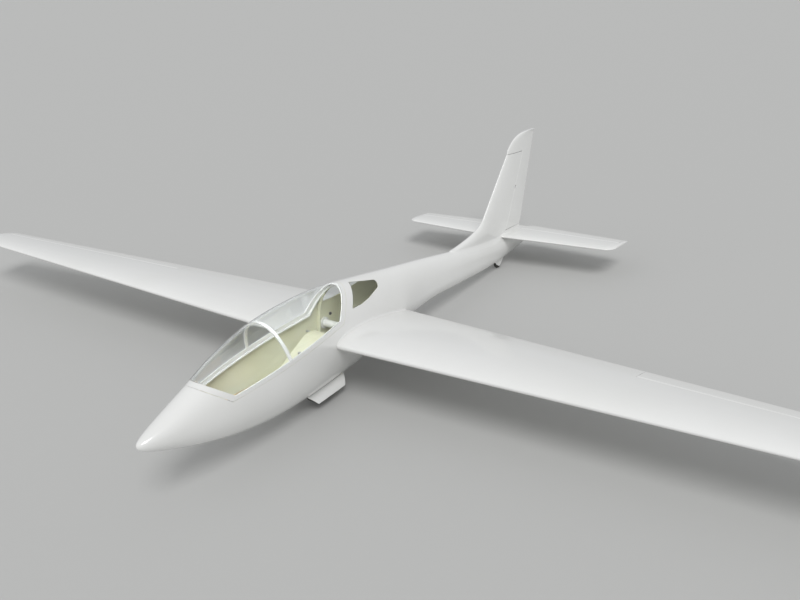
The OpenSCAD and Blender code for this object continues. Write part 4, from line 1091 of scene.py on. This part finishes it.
def fuselage():
    """Shell with the fin and the root fairings, hollowed out and cut open."""
    shell = hull("fuselage")
    foot = [fin_ring(rise, 0) for rise in FILLET * (np.linspace(0, 1, 15) ** 2)]
    blade = [fin_ring(FILLET, flat) for flat in np.linspace(0, 1, 32)[1:]]
    combine(shell, "UNION", loft("fin", [fin_ring(-8, 0)] + foot + blade))
    left = wing_fairing("fairing")
    combine(shell, "UNION", left, mirrored(left, "fairing.right"), tail_fairing("tail_stub"))
    windows = window_space("window.left", 0, WINDOW_IN)
    a, b, c, d = half_well(0, 0)
    well = below("well", [a, b, (a[0], -a[1]), (d[0], -d[1]), c, d])
    tail_half_w = TAIL_W / 2 + FAIRING_T + SEAT
    low, high = TAIL_C + TAIL_WELL[0], TAIL_C + TAIL_WELL[1]
    cut(shell, hollow("inside"), canopy_space("cockpit", GAP / 2), windows, mirrored(windows, "window.right"),
        well, rudder_cove("cove"), y_bar("tube_hole", TUBE, TUBE_HOLE, -PAST_Y, PAST_Y),
        block("tail_well", (low[0], -tail_half_w, low[1]), (high[0], tail_half_w, high[1])),
        plan_prism("tow_hole", circle((TOW_X, 0), TOW_D, 32), -120, -40))
    smooth(shell)
    dress(shell, "airframe", "white_gelcoat", gelcoat, "fuselage_shell")
    shell.data.materials.append(fibre)
    line_inside(shell.data)
    return shell


def line_inside(mesh):
    """Gives the faces on the inner side of the shell the raw fibre finish."""
    p = level(np.array([f.center for f in mesh.polygons]))
    s = np.clip(-p[:, 0], NOSE_BLOCK, TAIL_END - FORMER_T)
    depth = WALL * 0.5
    middle = frame_value(s, MIDDLE)
    wide = np.maximum(frame_value(s, WIDTH) - depth, 1)
    reach = np.where(p[:, 2] >= middle, frame_value(s, TOP) - middle, middle - frame_value(s, BOTTOM)) - depth
    value = np.abs(p[:, 1] / wide) ** SECTION_POWER + np.abs((p[:, 2] - middle) / reach) ** SECTION_POWER
    inside = (value < 1) & (-p[:, 0] > NOSE_BLOCK - 1) & (-p[:, 0] < TAIL_END - FORMER_T + 1)
    mesh.polygons.foreach_set("material_index", inside.astype(np.int32))


def cockpit_sill():
    sill = cut(hollow("sill", WALL + SEAT), hollow("sill.inner", WALL + SEAT + SILL_W))
    combine(sill, "INTERSECT", canopy_space("sill.band", GAP / 2 + SILL_T))
    cut(sill, canopy_space("sill.opening", GAP / 2))
    return dress(smooth(sill), "airframe", "white_gelcoat", satin, "cockpit_sill")


def wheel_box():
    """Cover of the wheel's room, with a hump over the folded wheel."""
    reach = np.linalg.norm(MAIN_C - GEAR_PIVOT)
    hump_r = MAIN_D / 2 + HUMP_ROOM
    arm = GEAR_PIVOT - MAIN_C
    gear_up = GEAR_PIVOT[1] + arm[0] * math.sin(GEAR_SWING) - arm[1] * math.cos(GEAR_SWING)
    hump_c = np.array([GEAR_PIVOT[0] - reach - MAIN_D / 2 - 3 + hump_r, gear_up - 1])

    def hump(r, grow):
        front = GEAR_PIVOT[0] + PIVOT_ROOM[0] + grow
        turn = np.radians(np.linspace(55, 165, 40))
        arc = hump_c + r * np.stack([np.cos(turn), np.sin(turn)], 1)
        high = GEAR_PIVOT[1] + PIVOT_ROOM[1] + grow
        return [(front, BOX_LOW), (front, high), *arc, (hump_c[0] - r, BOX_LOW)]
    box = side_prism("wheel_box_cover", hump(hump_r + BOX_T, BOX_T), -BOX_IN - BOX_T, BOX_IN + BOX_T)
    cut(box, side_prism("wheel_room", hump(hump_r, 0), -BOX_IN, BOX_IN))
    combine(box, "INTERSECT", hollow("wheel_box.hull", WALL + SEAT))
    return dress(smooth(box), "airframe", "raw_fibre", fibre, "wheel_box")


def rear_windows():
    pane = skin_patch("quarter_window_left", 0, GLASS_T, *WINDOW_SPAN, 40)
    combine(pane, "INTERSECT", window_space("window.trim", GAP, WINDOW_IN + GAP))
    dress_pair(pane, "quarter_window_right", FIXED, "clear_glass", glass,
               "rear_window_left", "rear_window_right")


def canopy():
    """Frame with its hoop, and the clear pane inside the frame."""
    band = skin_patch("canopy_band", 0, FRAME_T, *CANOPY_SPAN)
    cut(band, canopy_space("band.opening", -FRAME_BAND))
    along = (HOOP_HIGH - HOOP_LOW) / np.linalg.norm(HOOP_HIGH - HOOP_LOW)
    side = np.array([along[1], -along[0]]) * HOOP_W / 2
    low, high = HOOP_LOW - 70 * along, HOOP_HIGH + 70 * along
    hoop = skin_patch("hoop", GLASS_T + SEAT, FRAME_T, *CANOPY_SPAN)
    slice_edge = [low + side, high + side, high - side, low - side]
    combine(hoop, "INTERSECT", side_prism("hoop.slice", slice_edge, -PAST_Y, PAST_Y))
    combine(band, "UNION", hoop)
    combine(band, "INTERSECT", canopy_space("band.split", -GAP / 2))
    dress(smooth(band), "canopy", "white_gelcoat", gelcoat, "canopy_frame")
    pane = skin_patch("canopy_pane", 0, GLASS_T, *CANOPY_SPAN)
    combine(pane, "INTERSECT", canopy_space("pane.split", -FRAME_BAND - SEAT))
    dress(smooth(pane), "canopy", "clear_glass", glass, "canopy_glass")


def gear_doors():
    """Two patches of the belly, swung open about their outer edges."""
    door = skin_patch("belly_door_left", 0, DOOR_T, *DOOR_SPAN, 40)
    combine(door, "INTERSECT", below("door.trim", half_well(3 * GAP, GAP)))
    front, rear = (Vector(p) for p in place(
        [(x, WELL_Y + SEAT, skin_height(-x, WELL_Y, BOTTOM) - DOOR_DROP) for x in WELL_X]))
    swing = Matrix.Rotation(-DOOR_OPEN, 4, (rear - front).normalized())
    door.data.transform(Matrix.Translation(front) @ swing @ Matrix.Translation(-front))
    doors = ("gear_door_left", "gear_door_right")
    dress_pair(door, "belly_door_right", doors, "white_gelcoat", gelcoat, *doors)


# Wings, tail and control surfaces
# Aileron link: station along the span, then in its hinge's frame the servo cover's length and breadth,
# the cover's edge, the servo arm's place, the servo's offset, its pocket's heights and the horn's slot
LINK_Y = 1150.0
COVER = (58.0, 48.0)
COVER_EDGE = 14.0
LINK_P = (74.0, -2.0)
SERVO_OFF = 10.0
POCKET_Z = (-40.0, 7.0)
HORN_SLOT = ((-2, -1.2, -30), (22, 8.2, 0))


def wings():
    spans = np.concatenate([[40], np.linspace(60, HALF_SPAN - 40, 36)[:-1]])
    tips = smooth_through(TIP_STEPS[::-1], 33)
    panel = loft("wing_panel_left", [wing_ring(y) for y in spans] + [tip_ring(*t) for t in tips])
    combine(panel, "INTERSECT", root_side("outboard", GAP, HALF_SPAN + 10))
    cove = loft("aileron_cove", [cove_ring(aileron_axis(y), hinge_r(y) + GAP)
                                 for y in (AILERON_IN - AILERON_END_GAP, AILERON_OUT + AILERON_END_GAP)])
    o = aileron_axis(LINK_Y)
    x, half = LINK_P[0] + SERVO_OFF, COVER[0] / 2 + SEAT
    pocket = axis_block("servo_pocket", (x - half, COVER_EDGE - COVER[1] - SEAT, LINK_P[1] + POCKET_Z[0]),
                        (x + half, COVER_EDGE + SEAT, LINK_P[1] + POCKET_Z[1]), o, aileron_dir)
    cut(panel, cove, pocket, axis_block("horn_slot", *HORN_SLOT, o, aileron_dir))
    dress_pair(panel, "wing_panel_right", FIXED, "white_gelcoat", gelcoat, "wing_left", "wing_right")


def ailerons():
    flap = loft("aileron_surface_left", [aileron_ring(y) for y in np.linspace(AILERON_IN, AILERON_OUT, 24)])
    sides = ("aileron_left", "aileron_right")
    dress_pair(flap, "aileron_surface_right", sides, "white_gelcoat", gelcoat, *sides)


def tailplane():
    spans = np.linspace(TAIL_ROOT_Y + GAP, HALF_TAIL - 30, 14)
    tips = smooth_through(TAIL_TIP_STEPS[::-1], 33)
    panel = loft("stabilizer_panel_left",
                 [tail_ring(y) for y in spans] + [tail_ring(HALF_TAIL - i, t, k) for i, t, k in tips])
    rings = [cove_ring(np.array([ELEVATOR_X, y, TAIL_Z]), elevator_r(max(y, TAIL_ROOT_Y)) + GAP)
             for y in (TAIL_ROOT_Y - 20, HALF_TAIL - ELEVATOR_END + 1)]
    cut(panel, loft("elevator_cove", rings))
    dress_pair(panel, "stabilizer_panel_right", FIXED, "white_gelcoat", gelcoat,
               "stabilizer_left", "stabilizer_right")
    flap = loft("elevator_surface_left",
                [elevator_ring(y) for y in np.linspace(TAIL_ROOT_Y + 1, HALF_TAIL - ELEVATOR_END, 14)])
    dress_pair(flap, "elevator_surface_right", ("elevator", "elevator"), "white_gelcoat", gelcoat,
               "elevator_left", "elevator_right")


def rudder():
    """Rudder with its horn balance, bevelled below, with a notch for its hinge."""
    low = [rudder_ring(z) for z in np.linspace(FIN_TOP + HORN_GAP + 3, RUDDER_LOW, 40)]
    flap = loft("rudder_surface", low)
    curve = smooth_through(HORN_FRONT, 40)
    curve[0, 0] = FIN_TOP + HORN_GAP
    horn = loft("rudder_horn", [flat_foil(TAIL_LE - back, te_x(z), z) for z, back in curve[::-1]])
    combine(flap, "UNION", horn)
    bevel = [tuple(RUDDER_BEVEL + (0, -10)), tuple(RUDDER_BEVEL), tuple(TE_LOW), tuple(TE_LOW + (-40, 0)),
             tuple(RUDDER_BEVEL + (-60, -10))]
    k = np.array([-math.sin(math.atan(HINGE_SLOPE)), 0, math.cos(math.atan(HINGE_SLOPE))])
    o = np.array([hinge_x(RUDDER_HINGE_Z), 0, RUDDER_HINGE_Z])
    notch = axis_block("rudder_notch", (-NOTCH_BACK, -NOTCH / 2, -20), (40, NOTCH / 2, 20), o, k, (0, -1, 0))
    cut(flap, side_prism("rudder_bevel", bevel, -40, 40), notch)
    dress(smooth(flap), "rudder", "white_gelcoat", gelcoat, "rudder")


# Cover screws: the cover's height, distance from its edges, and how far a head stands out
COVER_Z = -8.5
SCREW_IN = 4.0
SCREW_RISE = 0.6


def cover_screws():
    """Four screws near the corners of each servo cover, on the underside of the wings."""
    o = aileron_axis(LINK_Y)
    spots = [(LINK_P[0] + SERVO_OFF + side * (COVER[0] / 2 - SCREW_IN), y, LINK_P[1] + COVER_Z - SCREW_RISE)
             for side in (-1, 1) for y in (COVER_EDGE - COVER[1] + SCREW_IN, COVER_EDGE - SCREW_IN)]
    left = on_axis(spots, o, aileron_dir)
    down, here = place(np.vstack([on_axis([(0, 0, -1)], np.zeros(3), aileron_dir), np.zeros(3)]))
    down = Vector(down - here).normalized()
    flip = np.array([1, -1, 1])
    heads = grow("cover_screw_heads", np.vstack([left, left * flip]), screws, {}, steel,
                 np.vstack([np.tile(down, (4, 1)), np.tile(down, (4, 1)) * flip]))
    dress(smooth(heads), "airframe", "steel", steel, "cover_screws")


def wheels():
    """Rubber tyres on the main hub and on a hub of the tail wheel's own."""
    tyre = grow("main_wheel_tyre", [(MAIN_C[0], 0, MAIN_C[1])], tyres, {}, rubber)
    dress(smooth(tyre, 60), "main_wheel", "tyre", rubber, "main_tyre")
    small = grow("tail_wheel_tyre", [(TAIL_C[0], 0, TAIL_C[1])], tyres,
                 {"Outer Radius": TAIL_D / 2 * MM, "Bead Radius": TAIL_BEAD_R * MM, "Width": TAIL_W * MM,
                  "Groove Depth": 0.4 * MM, "Grooves": 2.0}, rubber)
    dress(smooth(small, 60), "tail_wheel", "tyre", rubber, "tail_wheel")
    axle_half = TAIL_W / 2 + FAIRING_T
    hub = y_bar("tail_wheel_hub", TAIL_C, TAIL_HUB[0], -TAIL_HUB[1] / 2, TAIL_HUB[1] / 2)
    combine(hub, "UNION", y_bar("hub_boss", TAIL_C, TAIL_BOSS[0], -TAIL_BOSS[1] / 2, TAIL_BOSS[1] / 2),
            y_bar("hub_axle", TAIL_C, TAIL_AXLE_D, -axle_half, axle_half))
    dress(smooth(hub), "tail_wheel", "white_plastic", satin)


LEAD_HOLE = (-717.0, 27.0)
LEAD_RING_D = 9.0
LEAD_BORE_D = 5.0


def lead_holes():
    """Dark rubber rings in the fuselage's walls, where the wing servo leads pass."""
    y = half_width(-LEAD_HOLE[0], LEAD_HOLE[1]) - WALL
    ring = cut(y_bar("lead_ring_left", LEAD_HOLE, LEAD_RING_D, y - 2.2, y + 0.5),
               y_bar("lead_bore", LEAD_HOLE, LEAD_BORE_D, y - 3, y - 1))
    dress_pair(ring, "lead_ring_right", FIXED, "dark_plastic", black)


def finish_solids():
    """Gives each solid that shows as it is a finish of its own."""
    finishes = {
        ply: ("nose_former", "tail_formers", "equipment_tray", "gear_frame"),
        fibre: ("main_former",),
        satin: ("wing_tube", "main_hub", "aileron_left_servo_arm", "aileron_right_servo_arm",
                "elevator_servo_arm", "rudder_servo_arm"),
        gelcoat: ("servo_covers", "tail_wheel_fairing"),
        black: ("receiver", "tow_servo", "retract_drive", "rudder_servo", "elevator_servo", "aileron_servos"),
        wrap: ("battery",),
        carbon: ("joiner_rod", "tail_joiners"),
        steel: ("tow_release", "tow_pin", "root_pins", "hinge_pins", "canopy_hinges", "canopy_hinge_arms",
                "canopy_latch", "gear_leg", "main_axle", "aileron_left_fittings", "aileron_right_fittings",
                "aileron_left_pushrod", "aileron_right_pushrod", "elevator_torque_tube",
                "elevator_pushrod", "rudder_torque_tube", "rudder_pushrod"),
    }
    for material, nodes in finishes.items():
        for node in nodes:
            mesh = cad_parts[node].data
            mesh.materials.clear()
            mesh.materials.append(material)


# Stage, light and camera
def stage():
    mesh = bpy.data.meshes.new("floor")
    half = 40.0
    edge = [(-half, -half, 0), (half, -half, 0), (half, half, 0), (-half, half, 0)]
    mesh.from_pydata(edge, [], [(0, 1, 2, 3)])
    floor = stand("floor", mesh)
    material, nodes, links, shader = new_material("pale_floor")
    shader.inputs["Base Color"].default_value = (0.52, 0.52, 0.51, 1)
    shader.inputs["Roughness"].default_value = 0.9
    mesh.materials.append(material)


def soft_light(name, place_at, spread, strength):
    """A broad even light that shines from a place towards the model."""
    data = bpy.data.lights.new(name, "SUN")
    data.angle = math.radians(spread)
    data.energy = strength
    lamp = stand(name, data)
    lamp.location = place_at
    lamp.rotation_euler = (-Vector(place_at)).to_track_quat("-Z", "Y").to_euler()


def lights():
    soft_light("key", (2.2, 2.6, 4.5), 25, 1.35)
    soft_light("fill", (3.5, -3.0, 3.0), 60, 0.25)
    world = bpy.data.worlds.new("studio")
    world.use_nodes = True
    back = world.node_tree.nodes["Background"]
    back.inputs["Color"].default_value = (0.97, 0.985, 1.0, 1)
    back.inputs["Strength"].default_value = 0.55
    scene.world = world


# Camera of the photo's view in the level frame: place, turns in radians, focal length and width in pixels
CAMERA_AT = (908.4, 1341.8, 815.1)
CAMERA_YAW = -2.5226
CAMERA_PITCH = 0.3382
CAMERA_ROLL = -0.0173
FOCAL_PX = 806.3
IMAGE_W = 800.0


def camera():
    flat = math.cos(CAMERA_PITCH)
    forward = Vector((flat * math.cos(CAMERA_YAW), flat * math.sin(CAMERA_YAW), -math.sin(CAMERA_PITCH)))
    right = forward.cross(Vector((0, 0, 1))).normalized()
    up = right.cross(forward)
    c, s = math.cos(CAMERA_ROLL), math.sin(CAMERA_ROLL)
    axes = Matrix((c * right + s * up, c * up - s * right, -forward)).transposed()
    data = bpy.data.cameras.new("photo_camera")
    data.sensor_width = 36.0
    data.lens = FOCAL_PX / IMAGE_W * data.sensor_width
    cam = stand("photo_camera", data)
    turned = Matrix.Rotation(-stance, 4, "Y") @ axes.to_4x4()
    cam.matrix_world = Matrix.Translation(Vector(place([CAMERA_AT])[0])) @ turned
    scene.camera = cam


# All pieces
fuselage()
cockpit_sill()
wheel_box()
rear_windows()
canopy()
gear_doors()
wings()
ailerons()
tailplane()
rudder()
cover_screws()
wheels()
lead_holes()
finish_solids()
stage()
lights()
camera()
scene.view_settings.view_transform = "Standard"
